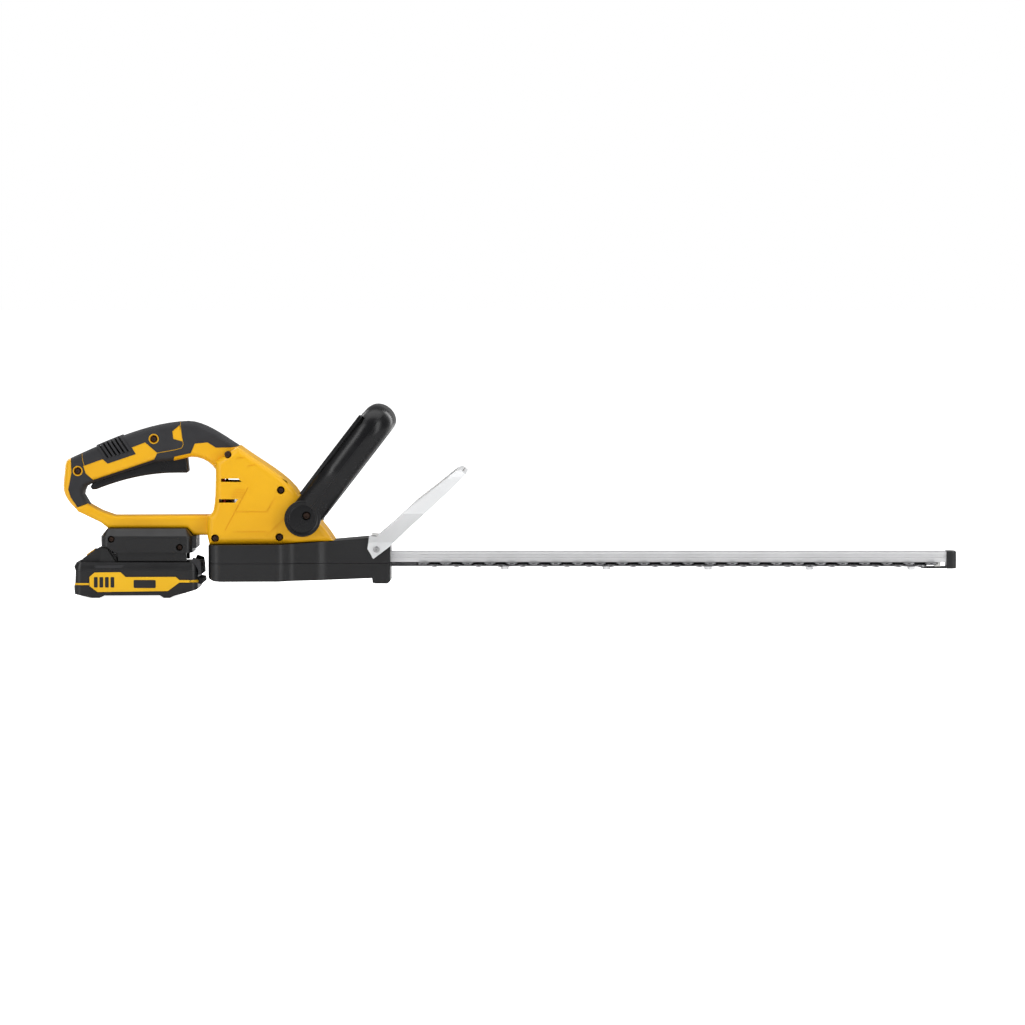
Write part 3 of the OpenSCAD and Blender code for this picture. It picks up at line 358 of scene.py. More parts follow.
def metalFinish(name, facts):
    material, nodes, links, shader = newMaterial(name)
    spot = nodes.new("ShaderNodeTexCoord").outputs["Object"]
    stretch = nodes.new("ShaderNodeMapping")
    stretch.inputs["Scale"].default_value = facts["streak"]
    links.new(spot, stretch.inputs["Vector"])
    streaks = noiseNode(nodes, links, stretch.outputs["Vector"], 1, 4)
    patches = noiseNode(nodes, links, spot, 30, 4)
    amount = ranged(nodes, links, patches.outputs["Fac"], 0, 1)
    links.new(blended(nodes, links, amount, facts["shade"], facts["color"]), shader.inputs["Base Color"])
    links.new(ranged(nodes, links, streaks.outputs["Fac"], *facts["rough"]), shader.inputs["Roughness"])
    bumped(nodes, links, shader, streaks.outputs["Fac"], 0.12, 0.00005)
    shader.inputs["Metallic"].default_value = 1
    return material


def clearFinish(name, facts):
    material, nodes, links, shader = newMaterial(name)
    spot = nodes.new("ShaderNodeTexCoord").outputs["Object"]
    clouds = noiseNode(nodes, links, spot, 14, 3)
    amount = ranged(nodes, links, clouds.outputs["Fac"], 0, 1)
    links.new(blended(nodes, links, amount, facts["shade"], facts["color"]), shader.inputs["Base Color"])
    patches = noiseNode(nodes, links, spot, 90, 3)
    links.new(ranged(nodes, links, patches.outputs["Fac"], *facts["rough"]), shader.inputs["Roughness"])
    bumped(nodes, links, shader, noiseNode(nodes, links, spot, 1500, 2).outputs["Fac"], facts["bump"])
    shader.inputs["IOR"].default_value = facts["ior"]
    shader.inputs["Transmission Weight"].default_value = facts["through"]
    shader.inputs["Alpha"].default_value = facts["alpha"]
    return material


finishes = {name: plasticFinish(name, facts) for name, facts in finishFacts.items()}
finishes.update({name: metalFinish(name, facts) for name, facts in metalFacts.items()})
finishes["clear_guard"] = clearFinish("clear_guard", guardFacts)
slotOf = {part["node"]: part["material_slot"] for part in frame["record"]["subparts"]}
for node, cadObject in frame["nodes"].items():
    cadObject.data.materials.clear()
    cadObject.data.materials.append(finishes[slotOf[node]])
print("finishes made:", len(finishes))


handle = {"halfWidth": 19, "coreStep": 0.5, "rim": 9, "squeeze": 0.62, "slotHalf": 12.3,
          "seam": 0.15, "bores": [(0, 4.3, 155.5), (30, 5.4, 163.6)]}
handleOutline = ([(-63, 86)] + bezier((-63, 86), (-70, 92), (-78.6, 101), (-78, 112), 6) + [(-76, 133)]
                 + bezier((-76, 133), (-75.6, 137.4), (-73, 138), (-70, 139.5), 3)
                 + bezier((-70, 139.5), (-30, 158), (8, 175), (46, 176), 12)
                 + bezier((46, 176), (62, 176), (80, 163), (97.5, 151.5), 8)
                 + [(101, 143), (86, 118), (75.7, 123)]
                 + bezier((75.7, 123), (74.6, 132), (62, 141), (50, 140.2), 6)
                 + [(33, 136.5), (14, 135), (-45, 115.5), (-55, 111), (-56.8, 106.5), (-57.5, 103),
                    (-51, 92)])
body = {"halfWidth": 36, "rim": 7}
bodyOutline = ([(67, 62), (67, 82.4)] + bezier((67, 82.4), (74, 83), (73.6, 92), (74.8, 102), 5)
               + [(75.4, 124), (75.4, 136), (97.5, 151.5)]
               + bezier((97.5, 151.5), (118, 136), (149, 121), (158.5, 102), 8)
               + [(187, 66.5), (193, 57.5), (140, 54), (69, 53.5)])
bodyHollow = [(71, 57), (71, 80), (78, 84), (78, 122), (80, 136), (98, 147.5), (117, 133), (146, 117),
              (155, 101), (182, 66.5), (185, 60.5), (140, 57.5)]
bar = {"halfWidth": 20, "rim": 3.5}
barOutline = [(70, 82.4), (-27, 82), (-40, 86.5), (-51, 92.5), (-53, 94), (-66, 90), (-63, 86), (-40, 75),
              (-33, 69.5), (46, 69.5), (52, 62.5), (70, 62.5)]
gripRegion = [(-62.5, 89), (-70, 100), (-72.5, 108), (-69.2, 125), (-70, 139.5), (-70, 180), (99, 180),
              (98, 151.2), (90, 150), (75, 149.7), (66.5, 155), (54, 153.7), (50, 144.3), (33.5, 140.6),
              (32, 135), (14, 130), (-45, 110), (-54.5, 106), (-54, 99), (-45, 89.5)]
inlay = [(-57.5, 131.3), (-38, 138.3), (-33, 133.8), (-5, 143.3), (-9, 150), (4.5, 155), (16.5, 144.5),
         (13.5, 137.8), (-47.5, 117.3), (-55, 124)]
smallInlay = [(39, 172.5), (31.5, 166), (32.5, 158.5), (41.5, 156)]
triggerWay = [(-52.5, 100), (47.9, 100), (47.9, 158), (20, 151), (-52.5, 121)]
gripLines = [[(39, 178), (39.8, 170), (41, 160), (42.5, 153), (41, 149.5), (36, 148), (16, 144.3)],
             [(-59.4, 147), (-58, 137), (-56.3, 131)]]
housingScrews = [(-63, 126.5, 19), (13, 158.5, 19), (87.5, 143.5, 36), (140.5, 108, 36), (139, 61.2, 36),
                 (75, 60, 36)]
screwFit = {"recess": 4, "ring": 5.1, "sink": 3.2}
vents = [[(81, 119.5), (81, 116.2), (101.5, 116), (98.5, 119.5)],
         [(79, 99), (79, 95.5), (95, 95.5), (98, 99)]]
creases = {"width": 0.9, "depth": 0.7,
           "lines": [[(108, 111), (85, 68)], [(96, 86.5), (126.5, 86.5), (135, 101)],
                     [(93, 66.5), (126, 66.5)], [(126, 63), (145, 80)],
                     [(93, 106), (104, 106)], [(92.5, 103.6), (103, 103.6)],
                     [(91.5, 101.2), (101.5, 101.2)], [(95, 108.4), (105, 108.4)],
                     [(96, 139.5), (111, 141.5)], [(107, 132), (121, 134.5)]]}
hub = {"centre": (162.5, 80), "screw": (166.5, 83), "radius": 18}


def grooveCutter(lines, width, low, high):
    bm = bmesh.new()
    for line in lines:
        points = [Vector(p) for p in line]
        one, other = [], []
        for i, point in enumerate(points):
            ahead = points[min(i + 1, len(points) - 1)] - point
            behind = point - points[max(i - 1, 0)]
            along = (ahead.normalized() + behind.normalized()).normalized() * width / 2
            one.append((point.x - along.y, point.y + along.x))
            other.append((point.x + along.y, point.y - along.x))
        addPrism(bm, one + other[::-1], -high, -low)
    return newObject("groove", bm)


def holeCutter(spots, radius, low, high):
    bm = bmesh.new()
    for x, z, halfWidth in spots:
        addPrism(bm, circlePoints(x, z, radius), -halfWidth - high, -halfWidth + low)
    return newObject("holes", bm)


def innerWays():
    # Round ways up into the grip for the switch plunger and the trigger spring
    bm = bmesh.new()
    for x, radius, top in handle["bores"]:
        addPrism(bm, circlePoints(x, 0, radius, 20), 125, top, "z")
    return newObject("bores", bm)


def yellowHalf():
    coreWidth = handle["halfWidth"] - handle["coreStep"]
    core = pillow("core", grown(handleOutline, -handle["coreStep"]), -3.1, coreWidth, handle["rim"],
                  squeeze=handle["squeeze"])
    outer = pillow("outer", handleOutline, -2.3, coreWidth + 0.2, handle["rim"], squeeze=handle["squeeze"])
    combine(outer, [prism("skinned", grown(gripRegion, 0.1), -60, 9)])
    shell = pillow("housing_shell_right", bodyOutline, -1, body["halfWidth"], body["rim"])
    lower = pillow("lower", barOutline, -1.7, bar["halfWidth"], bar["rim"], steps=4)
    for part in (lower, core, outer):
        combine(shell, [part], "UNION")
    combine(shell, [prism("seam", [(-99, 30), (220, 30), (220, 200), (-99, 200)], -60, -handle["seam"])],
            "INTERSECT")
    floor = body["halfWidth"] - creases["depth"]
    combine(shell, [grooveCutter(creases["lines"], creases["width"], floor, body["halfWidth"] + 4)])
    bm = bmesh.new()
    for vent in vents:
        addPrism(bm, vent, -40, -30)
    addPrism(bm, triggerWay, -handle["slotHalf"], 1)
    combine(shell, [newObject("ways", bm)])
    combine(shell, [prism("hollow", bodyHollow, -33, 1), innerWays()])
    return shell


def softHalf():
    skin = pillow("grip_skin_right", handleOutline, -2, handle["halfWidth"], handle["rim"],
                  squeeze=handle["squeeze"])
    combine(skin, [prism("region", grown(gripRegion, -0.15), -60, -handle["seam"])], "INTERSECT")
    combine(skin, [ribs("ribs", ribFacts["proud"], ribFacts["width"], ribFacts["count"])], "UNION")
    combine(skin, [prism("window", inlay, -40, 1), prism("smallWindow", smallInlay, -40, 1),
                   prism("way", triggerWay, -handle["slotHalf"], 1), innerWays()])
    combine(skin, [grooveCutter(gripLines, 0.7, 0, 40)])
    combine(skin, [holeCutter(housingScrews[:2], screwFit["ring"], 30, 5)])
    combine(skin, [prism("front", grown(bodyOutline, 0.05), -60, 1)])
    return skin


# The last two entries size the dark plates of painted shade between the ribs
ribFacts = {"count": 7, "first": (-44, 153), "pitch": (4.05, 1.25), "run": (10.5, -15.5), "width": 2.3,
            "proud": 1.1, "gapShadeProud": 0.12, "gapShadeWidth": 2}


def ribs(name, proud, width, count, shift=0):
    # Raised bars across the back of the grip, cut from a slightly larger grip; also used for the thin dark
    # plates of painted shade between the ribs
    larger = pillow(name, grown(handleOutline, proud), -3, handle["halfWidth"] + proud,
                    handle["rim"] + proud, squeeze=handle["squeeze"])
    bm = bmesh.new()
    run = Vector(ribFacts["run"])
    side = Vector((-run.y, run.x)).normalized() * width / 2
    for i in range(count):
        start = Vector(ribFacts["first"]) + Vector(ribFacts["pitch"]) * (i + shift) - run * 0.35
        end = start + run * 1.25
        corners = [start - side, end - side, end + side, start + side]
        addPrism(bm, [tuple(corner) for corner in corners], -60, -0.5)
    return combine(larger, [newObject("bars", bm)], "INTERSECT")


yellowRight = yellowHalf()
yellowLeft = mirroredCopy(yellowRight, "housing_shell_left")
for spot in housingScrews:
    combine(yellowRight, [holeCutter([spot], screwFit["recess"], 5.5, 3)])
finish(yellowRight, "housing", "yellow_plastic", ["housing_right"])
finish(yellowLeft, "housing", "yellow_plastic", ["housing_left"])
print("yellow housing made")

gripRight = softHalf()
gripLeft = mirroredCopy(gripRight, "grip_skin_left")
finish(gripRight, "housing", "soft_grip", ["grip_right"], bevel=0.3)
finish(gripLeft, "housing", "soft_grip", ["grip_left"], bevel=0.3)
# Thin glossy black plates a hair proud between the ribs: painted shade standing in for the shadow in the
# grooves between the ribs
shadeGapRight = ribs("grip_rib_gap_shade", ribFacts["gapShadeProud"], ribFacts["gapShadeWidth"], ribFacts["count"] - 1, 0.5)
shadeGapLeft = mirroredCopy(shadeGapRight, "grip_rib_gap_shade_left")
finish(joined("grip_rib_gap_shade", [shadeGapRight, shadeGapLeft]), "housing", "glossy_black", [], bevel=0)
print("grips made")

bm = bmesh.new()
for x, z, halfWidth in housingScrews:
    screw(bm, (x, -halfWidth + screwFit["sink"], z), (0, -1, 0), length=halfWidth + 6)
finish(newObject("housing_screw_set", bm), "housing", "screw_steel", ["housing_screws"], bevel=0)


trigger = {"halfWidth": 12, "rim": 2.5,
           "outline": ([(-51, 110.5), (-49, 107.6), (-45, 107.8)]
                       + bezier((-45, 107.8), (-22, 117), (5, 124.5), (36, 124.4), 12)
                       + [(45.5, 124.4), (47.3, 126.2), (46, 138.5), (44.5, 147), (20, 139), (-40, 119.5),
                          (-46, 118.8)]),
           "pocketHalf": 9.5,
           "pocket": [(12, 129.5), (24, 130.4), (40, 130.4), (40, 160), (-36, 140), (-36, 117), (0, 127.5)]}
lever = pillow("trigger_lever", trigger["outline"], 0, trigger["halfWidth"], trigger["rim"], steps=4)
lever = joined("trigger_lever", [lever, mirroredCopy(lever, "other")])
bm = bmesh.new()
bm.from_mesh(lever.data)
middle = [f for f in bm.faces if all(abs(v.co.y) < 0.001 for v in f.verts)]
bmesh.ops.delete(bm, geom=middle, context="FACES")
bmesh.ops.remove_doubles(bm, verts=bm.verts, dist=0.001)
bpy.data.objects.remove(lever)
lever = newObject("trigger_lever", bm)
combine(lever, [prism("pocket", trigger["pocket"], -trigger["pocketHalf"], trigger["pocketHalf"])])
finish(lever, "trigger", "glossy_black", ["trigger"], bevel=0.3)
print("trigger made")


dock = {"halfWidth": 35, "chamfer": 6, "shoulder": 62, "top": 69.4, "rearX": -39, "frontX": 52,
        "corner": 7.5,
        "screws": [(-28.5, 59, 35), (39.5, 51, 35)]}
dockSide = [(-33, 70), (-39.5, 62), (-38.5, 52.3), (-33, 51.5), (-25, 45.5), (60, 45.5), (60, 70)]
dockPanel = [(-11, 60), (-14.6, 54), (-11.5, 46.5), (40, 46.5), (40, 60)]


def roundedPlan(x0, x1, halfY, corner, count=4):
    points = []
    for cx, cy, start in ((x1 - corner, halfY - corner, 0), (x0 + corner, halfY - corner, 90),
                          (x0 + corner, corner - halfY, 180), (x1 - corner, corner - halfY, 270)):
        for i in range(count + 1):
            a = math.radians(start + 90 * i / count)
            points.append((cx + corner * math.cos(a), cy + corner * math.sin(a)))
    return points


def dockBlock():
    bm = bmesh.new()
    plan = roundedPlan(dock["rearX"], dock["frontX"], dock["halfWidth"], dock["corner"])
    addPrism(bm, plan, 44, dock["shoulder"], "z")
    bmesh.ops.recalc_face_normals(bm, faces=bm.faces)
    top = max(bm.faces, key=lambda f: f.calc_center_median().z)
    bmesh.ops.inset_region(bm, faces=[top], thickness=dock["chamfer"], depth=dock["top"] - dock["shoulder"],
                           use_even_offset=True)
    block = newObject("dock_shell", bm)
    combine(block, [prism("profile", dockSide, -50, 50)], "INTERSECT")
    hollow = prism("hollow", [(-60, 40), (-20, 40), (-20, 62), (49, 62), (49, 40)], -31.5, 31.5)
    return combine(block, [hollow])


def dockHalf(name, side):
    half = dockBlock()
    half.name = name
    keep = [(-60, 30), (80, 30), (80, 90), (-60, 90)]
    combine(half, [prism("half", keep, 0.15 if side > 0 else -60, 60 if side > 0 else -0.15)], "INTERSECT")
    panel = prism("panel", dockPanel, side * 34, side * 35.9)
    nose = prism("nose", [(51, 50), (56, 50), (56, 62), (51, 62)], side * 4, side * 29)
    rails = prism("rails", [(-22, 37), (46, 37), (46, 63), (-22, 63)], side * 23.5, side * 30)
    combine(half, [panel, nose, rails], "UNION")
    spots = [(x, z, 36) for x, z, halfWidth in dock["screws"]]
    if side < 0:
        combine(half, [holeCutter(spots, 3.5, 6, 3)])
    return half


finish(dockHalf("dock_shell_right", -1), "housing", "black_plastic", ["dock_right"], bevel=0.8, segments=3)
finish(dockHalf("dock_shell_left", 1), "housing", "black_plastic", ["dock_left"], bevel=0.8, segments=3)
bm = bmesh.new()
for x, z, halfWidth in dock["screws"]:
    screw(bm, (x, -halfWidth + 3, z), (0, -1, 0), radius=3, length=24)
finish(newObject("dock_screw_set", bm), "housing", "screw_steel", ["dock_screws"], bevel=0)
print("dock made")


pack = {"halfWidth": 37.5, "rearX": -66, "frontX": 58, "corner": 8, "seam": 28}
packSide = [(-65, 4.5), (-48, 0.7), (-40, 0.7), (-35, 3), (20, 3.3), (24, 0.7), (30, 0.7), (35, 3),
            (45, 5.5), (56.5, 9), (58, 11), (58, 28), (58, 40), (-70, 40), (-64, 28), (-64.5, 16),
            (-66, 12)]
labelOutline = [(-50, 21.5), (-45, 26), (-19, 26.3), (-14, 21.5), (36, 21.7), (39.5, 18.5), (50, 18.5),
                (50, 16), (39.5, 16), (28, 7.5), (-42, 6.5), (-50, 12.5)]
humpSide = [(-23.5, 35), (-24, 40), (-33, 51), (-39, 51.2), (-44, 49.2), (-57, 40), (-63, 33), (-64, 28.2),
            (-60, 28.2)]
gaugeOutline = [(-45, 33), (-44.5, 29.8), (-18.5, 30.2), (-14, 33.4)]
labelMarks = [roundedPlan(-45.5, -41.8, 5.2, 0.8), roundedPlan(-40, -36.3, 5.2, 0.8),
              roundedPlan(-34.5, -30.8, 5.2, 0.8), roundedPlan(-29, -25.3, 5.2, 0.8)]


def packBlock(name, low, high, plan, side):
    block = prism(name, plan, low, high, "z")
    return combine(block, [prism("profile", side, -60, 60)], "INTERSECT")


packPlan = roundedPlan(pack["rearX"], pack["frontX"], pack["halfWidth"], pack["corner"], 6)
lowerPack = packBlock("pack_tray", 0, pack["seam"], packPlan, packSide)
inside = prism("inside", [(-59, 7.5), (-48, 5.5), (40, 5.5), (54, 11), (54, 40), (-59, 40)], -34.5, 34.5)
recess = bothSides(lambda: prism("recess", grown(labelOutline, 0.9), -40, -pack["halfWidth"] + 0.9))
combine(lowerPack, [inside, recess])


def packBand(name, inner, outer, extra):
    # The thin stripe round both ends of the pack, level with the label
    rings = []
    for low, high, x0, x1 in ((13.4, 15.4, -80, -50.5), (16, 18.5, 50.5, 80)):
        ring = prism(name, grown(packPlan, outer), low - extra, high + extra, "z")
        core = prism("core", grown(packPlan, -inner), low - 2, high + 2, "z")
        rings.append(ring)
        combine(ring, [core])
        keep = prism("keep", [(x0, -99), (x1, -99), (x1, 99), (x0, 99)], 0, 40, "z")
        combine(ring, [keep], "INTERSECT")
    return joined(name, rings)


combine(lowerPack, [packBand("bandSeat", 0.6, 1, 0.1)])
band = packBand("pack_band", 0.6, 0, 0)
combine(band, [prism("profile", packSide, -60, 60)], "INTERSECT")
finish(band, "battery", "label_yellow", [], bevel=0)
finish(lowerPack, "battery", "black_plastic", ["battery_lower"], bevel=0.9, segments=3)


def packTop():
    bm = bmesh.new()
    addPrism(bm, grown(packPlan, -0.15), pack["seam"] + 0.05, 32, "z")
    bmesh.ops.recalc_face_normals(bm, faces=bm.faces)
    top = max(bm.faces, key=lambda f: f.calc_center_median().z)
    bmesh.ops.inset_region(bm, faces=[top], thickness=2.2, depth=4, use_even_offset=True)
    lid = newObject("pack_lid", bm)
    combine(lid, [prism("profile", packSide, -60, 60)], "INTERSECT")
    hump = prism("hump", humpSide, -25, 25)
    ears = bothSides(lambda: prism("ears", [(-24, 35), (-33, 49.5), (-38.5, 50), (-40.5, 35)], -30, -24))
    neck = prism("neck", [(-25, 35), (30, 35), (30, 41.5), (-25, 41.5)], -17.8, 17.8)
    head = prism("head", [(-25, 41), (30, 41), (30, 44.8), (-25, 44.8)], -22.8, 22.8)
    combine(lid, [hump, ears, neck, head], "UNION")
    bm = bmesh.new()
    addPrism(bm, [(-58, 20), (54, 20), (54, 33.5), (-58, 33.5)], -34.8, 34.8)
    addPrism(bm, [(-55.3, 33), (-46.2, 33), (-46.2, 60), (-55.3, 60)], -10.3, 10.3)
    for y in (-12, -6, 0, 6, 12):
        addPrism(bm, [(11, 33), (31, 33), (31, 46), (11, 46)], y - 1.2, y + 1.2)
    cut = newObject("ways", bm)
    combine(lid, [cut])
    combine(lid, [bothSides(lambda: prism("gaugeSeat", grown(gaugeOutline, 0.4), -40, -36.4))])
    return lid


finish(packTop(), "battery", "black_plastic", ["battery_upper"], bevel=0.9, segments=3)
label = bothSides(lambda: prism("label", labelOutline, -pack["halfWidth"] - 0.0, -pack["halfWidth"] + 0.9))
label.name = "pack_label"
finish(label, "battery", "label_yellow", ["battery_label"], bevel=0.25)
bm = bmesh.new()
for side in (-1, 1):
    for mark in labelMarks:
        addPrism(bm, [(x, z + 16.3) for x, z in mark], side * 37.3, side * 37.7)
    addPrism(bm, [(x, z + 14.6) for x, z in roundedPlan(-6, 16, 4, 1.2)], side * 37.3, side * 37.7)
finish(newObject("pack_label_marks", bm), "battery", "black_plastic", [], bevel=0)
gauge = bothSides(lambda: prism("gauge", gaugeOutline, -36.9, -36.0))
gauge.name = "pack_gauge"
finish(gauge, "battery", "soft_grip", [], bevel=0.2)
finish(softened("battery_bumper"), "battery", "soft_grip", ["battery_bumper"], bevel=0.4)
finish(softened("release_button"), "release", "yellow_plastic", ["release_button"], bevel=0.6, segments=3)
print("battery made")


case = {"seam": 35, "seamGap": 0.25, "wall": 3}
caseSide = [(68, 24), (69, 20), (74, 17.5), (80, 17), (140, 17.2), (190, 18.5), (231, 20.2), (231.5, 15.5),
            (234, 14.8), (246.5, 14.8), (249, 17), (249, 52), (232, 60.3), (227, 60.3), (193, 57.3),
            (140, 53.8), (68, 53.3)]
caseHalf = ([(68, 31)] + bezier((68, 31), (68, 40), (73, 45), (82, 45), 8) + [(134, 45)]
            + bezier((134, 45), (146, 45), (146, 35), (158, 35), 10) + [(173, 35)]
            + bezier((173, 35), (181, 35), (181, 31), (190, 31), 8) + [(247, 31), (249, 29)])
casePlan = caseHalf + [(x, -y) for x, y in reversed(caseHalf)]


def caseCover():
    cover = prism("gearcase_cover", casePlan, case["seam"] + case["seamGap"] / 2, 70, "z")
    combine(cover, [prism("profile", caseSide, -60, 60)], "INTERSECT")
    combine(cover, [prism("hollow", grown(casePlan, -case["wall"]), 30, 50, "z")])
    bm = bmesh.new()
    addPrism(bm, [(x, y) for x, y in circlePoints(102, 0, 9.2)], 45, 60, "z")
    addPrism(bm, [(240, 34), (252, 34), (252, 46.4), (240, 46.4)], -11.3, 11.3)
    return combine(cover, [newObject("ways", bm)])


def caseTray():
    tray = prism("gearcase_tray", casePlan, 10, case["seam"] - case["seamGap"] / 2, "z")
    combine(tray, [prism("profile", caseSide, -60, 60)], "INTERSECT")
    combine(tray, [prism("hollow", grown(casePlan, -case["wall"]), 22.6, 40, "z")])
    bm = bmesh.new()
    addPrism(bm, [(240, 30.7), (252, 30.7), (252, 40), (240, 40)], -11.3, 11.3)
    for side in (-1, 1):
        addPrism(bm, [(231, 10), (252, 10), (252, 16.3), (231, 16.3)], side * 5, side * 19)
    for x, y in ((80, 39), (172, 29), (240, 25)):
        for side in (-1, 1):
            addPrism(bm, circlePoints(x, side * y, 3.5, 24), 8, 22, "z")
    return combine(tray, [newObject("ways", bm)])


finish(caseCover(), "housing", "black_plastic", ["gearcase_upper"], bevel=1.2, segments=4, angle=30)
finish(caseTray(), "housing", "black_plastic", ["gearcase_lower"], bevel=1.2, segments=4, angle=30)
bm = bmesh.new()
for x, y in ((80, 39), (172, 29), (240, 25)):
    for side in (-1, 1):
        screw(bm, (x, side * y, 20), (0, 0, -1), radius=3, length=26)
finish(newObject("case_screw_set", bm), "housing", "screw_steel", ["case_screws"], bevel=0)
print("gear case made")


hoop = {"depth": 32, "thick": 19, "dome": 13, "tilt": math.atan2(0.609, 0.793), "seamX": 0.8,
        "seamGap": 0.06}
hubX, hubZ = hub["centre"]
stand = Matrix.Translation((hubX, 0, hubZ)) @ Matrix.Rotation(hoop["tilt"], 4, "Y")
hoopPath = ([(42.5, -3, 0.62), (42.5, 8, 0.64), (43.3, 15, 0.7)]
            + [(y, z, 0.7 + 0.3 * (i + 1) / 8) for i, (y, z) in
               enumerate(bezier((43.3, 15), (46.5, 28), (55.5, 44), (56.5, 60), 8))]
            + [(56.5, 78, 1), (56.5, 99, 1)]
            + [(y, z, 1) for y, z in bezier((56.5, 99), (56.5, 119), (50, 128), (33, 128), 10)]
            + [(16, 128, 1), (0, 128, 1)])
hoopPath = hoopPath + [(-y, z, s) for y, z, s in reversed(hoopPath[:-1])]


def hoopSection(front):
    # Half of a D section: domed outside, flat inside, split at the parting plane
    sign = 1 if front else -1
    start = hoop["seamX"] + sign * hoop["seamGap"] / 2
    half = hoop["depth"] / 2
    base = hoop["thick"] / 2 - hoop["dome"]
    first = math.acos(abs(start) / half) if sign * start > 0 else math.pi - math.acos(abs(start) / half)
    arc = [(sign * half * math.cos(a), base + hoop["dome"] * math.sin(a))
           for a in [first * (1 - i / 10) for i in range(11)]]
    inner = [(sign * half, -5), (sign * (half - 1.5), -8), (sign * (half - 4.5), -hoop["thick"] / 2),
             (start, -hoop["thick"] / 2)]
    return arc + inner


def sweep(name, section, path):
    bm = bmesh.new()

    def ringPlace(i):
        y, z, scale = path[i]
        before, after = path[max(i - 1, 0)], path[min(i + 1, len(path) - 1)]
        along = Vector((0, after[0] - before[0], after[1] - before[1])).normalized()
        out = Vector((0, along.z, -along.y))
        turn = Matrix((Vector((1, 0, 0)), out, along)).transposed().to_4x4()
        return Matrix.Translation((0, y, z)) @ turn @ Matrix.Diagonal((1, scale, 1, 1))

    verts = [bm.verts.new((x, t, 0)) for x, t in section]
    ring = [bm.edges.new((verts[i - 1], verts[i])) for i in range(len(verts))]
    bmesh.ops.transform(bm, verts=verts, matrix=ringPlace(0))
    bm.faces.new(verts)
    for i in range(1, len(path)):
        made = bmesh.ops.extrude_edge_only(bm, edges=ring)["geom"]
        ring = [g for g in made if isinstance(g, bmesh.types.BMEdge) and len(g.link_faces) == 1]
        moved = [g for g in made if isinstance(g, bmesh.types.BMVert)]
        bmesh.ops.transform(bm, verts=moved, matrix=ringPlace(i) @ ringPlace(i - 1).inverted())
    bmesh.ops.contextual_create(bm, geom=ring)
    return newObject(name, bm)


def hubDisc(front):
    # The round foot of one leg on both sides, cut along the parting plane
    bm = bmesh.new()
    r = hub["radius"]
    profile = [(0, 36), (r - 0.8, 36), (r, 36.8), (r, 48.6), (r - 0.3, 49.4), (r - 1.1, 49.8),
               (r - 2.6, 49.8), (r - 3.2, 49.2), (r - 4.2, 49.2), (r - 4.6, 49.7),
               (r - 5.4, 49.9), (0, 49.9)]
    lathe(bm, profile, (0, 0, 0), (0, -1, 0), 56)
    disc = newObject("disc", bm)
    side = 1 if front else -1
    x0, x1 = sorted((hoop["seamX"] + side * hoop["seamGap"] / 2, side * 60))
    combine(disc, [prism("keep", [(x0, -60), (x1, -60), (x1, 60), (x0, 60)], -80, 80)], "INTERSECT")
    return joined("discs", [disc, mirroredCopy(disc, "other")])


def hoopHalf(name, front):
    half = sweep(name, hoopSection(front), hoopPath)
    combine(half, [hubDisc(front)], "UNION")
    half.data.transform(stand)
    cutters = bothSides(lambda: holeCutter([(*hub["screw"], 50)], 4.5, 6, 4))
    combine(half, [cutters])
    if not front:
        combine(half, [switchBar(barFacts["gap"], barFacts["slotX"], -hoop["depth"])])
    return half


barFacts = {"innerX": -14, "outerX": -17.8, "slotX": -10.7, "gap": 0.4,
            "outer": [(46, 18), (50.5, 34), (58, 50), (61, 62), (61, 112), (59, 117)],
            "inner": [(41, 18), (44.5, 32), (50, 46), (53, 62), (53, 109), (51, 117)]}


def switchBar(extra, low, high):
    # Two strips let into the rear edge of the legs
    leg = grown(barFacts["outer"] + barFacts["inner"][::-1], extra)
    bm = bmesh.new()
    for side in (-1, 1):
        addPrism(bm, [(side * y, z) for y, z in leg], low, high, "x")
    strips = newObject("switch_strips", bm)
    strips.data.transform(stand)
    return strips


finish(hoopHalf("hoop_rear", False), "housing", "glossy_black", ["loop_rear"], bevel=0.5, angle=50)
finish(hoopHalf("hoop_front", True), "housing", "glossy_black", ["loop_front"], bevel=0.5, angle=50)
strips = switchBar(0, barFacts["outerX"], barFacts["innerX"])
finish(strips, "handle_switch", "glossy_black", ["switch_bar"], bevel=0.8, segments=3)
bm = bmesh.new()
for side in (-1, 1):
    screw(bm, (hub["screw"][0], side * 46, hub["screw"][1]), (0, side, 0), radius=3.9, head=3, length=22)
finish(newObject("hoop_screw_set", bm), "housing", "screw_steel", ["loop_screws"], bevel=0)
print("front handle made")


cutter = {"pitch": 22, "first": 282, "count": 24, "half": 29, "rootY": 12, "root": 13.6, "tip": 6.2,
          "grind": 1.7, "thick": 2, "upperZ": 33.35, "lowerZ": 31.2, "bolts": [363, 464.5, 566, 667.5, 769],
          "crankX": 135.125}


def addTooth(bm, x, side, z, grindUp):
    root, tip = cutter["root"] / 2, cutter["tip"] / 2
    plan = [(x - root, side * (cutter["rootY"] - 2)), (x + root, side * (cutter["rootY"] - 2)),
            (x + root, side * cutter["rootY"]), (x + tip, side * cutter["half"]),
            (x - tip, side * cutter["half"]), (x - root, side * cutter["rootY"])]
    low, high = (z, z + cutter["thick"]) if grindUp else (z + cutter["thick"], z)
    top = addPrism(bm, plan, low, high, "z")
    for vert in top:
        if abs(vert.co.y) >= cutter["rootY"] - 0.01:
            away = 1 if vert.co.x > x else -1
            vert.co.x -= away * cutter["grind"]
            if abs(vert.co.y) > cutter["half"] - 1:
                vert.co.y -= side * cutter["grind"]


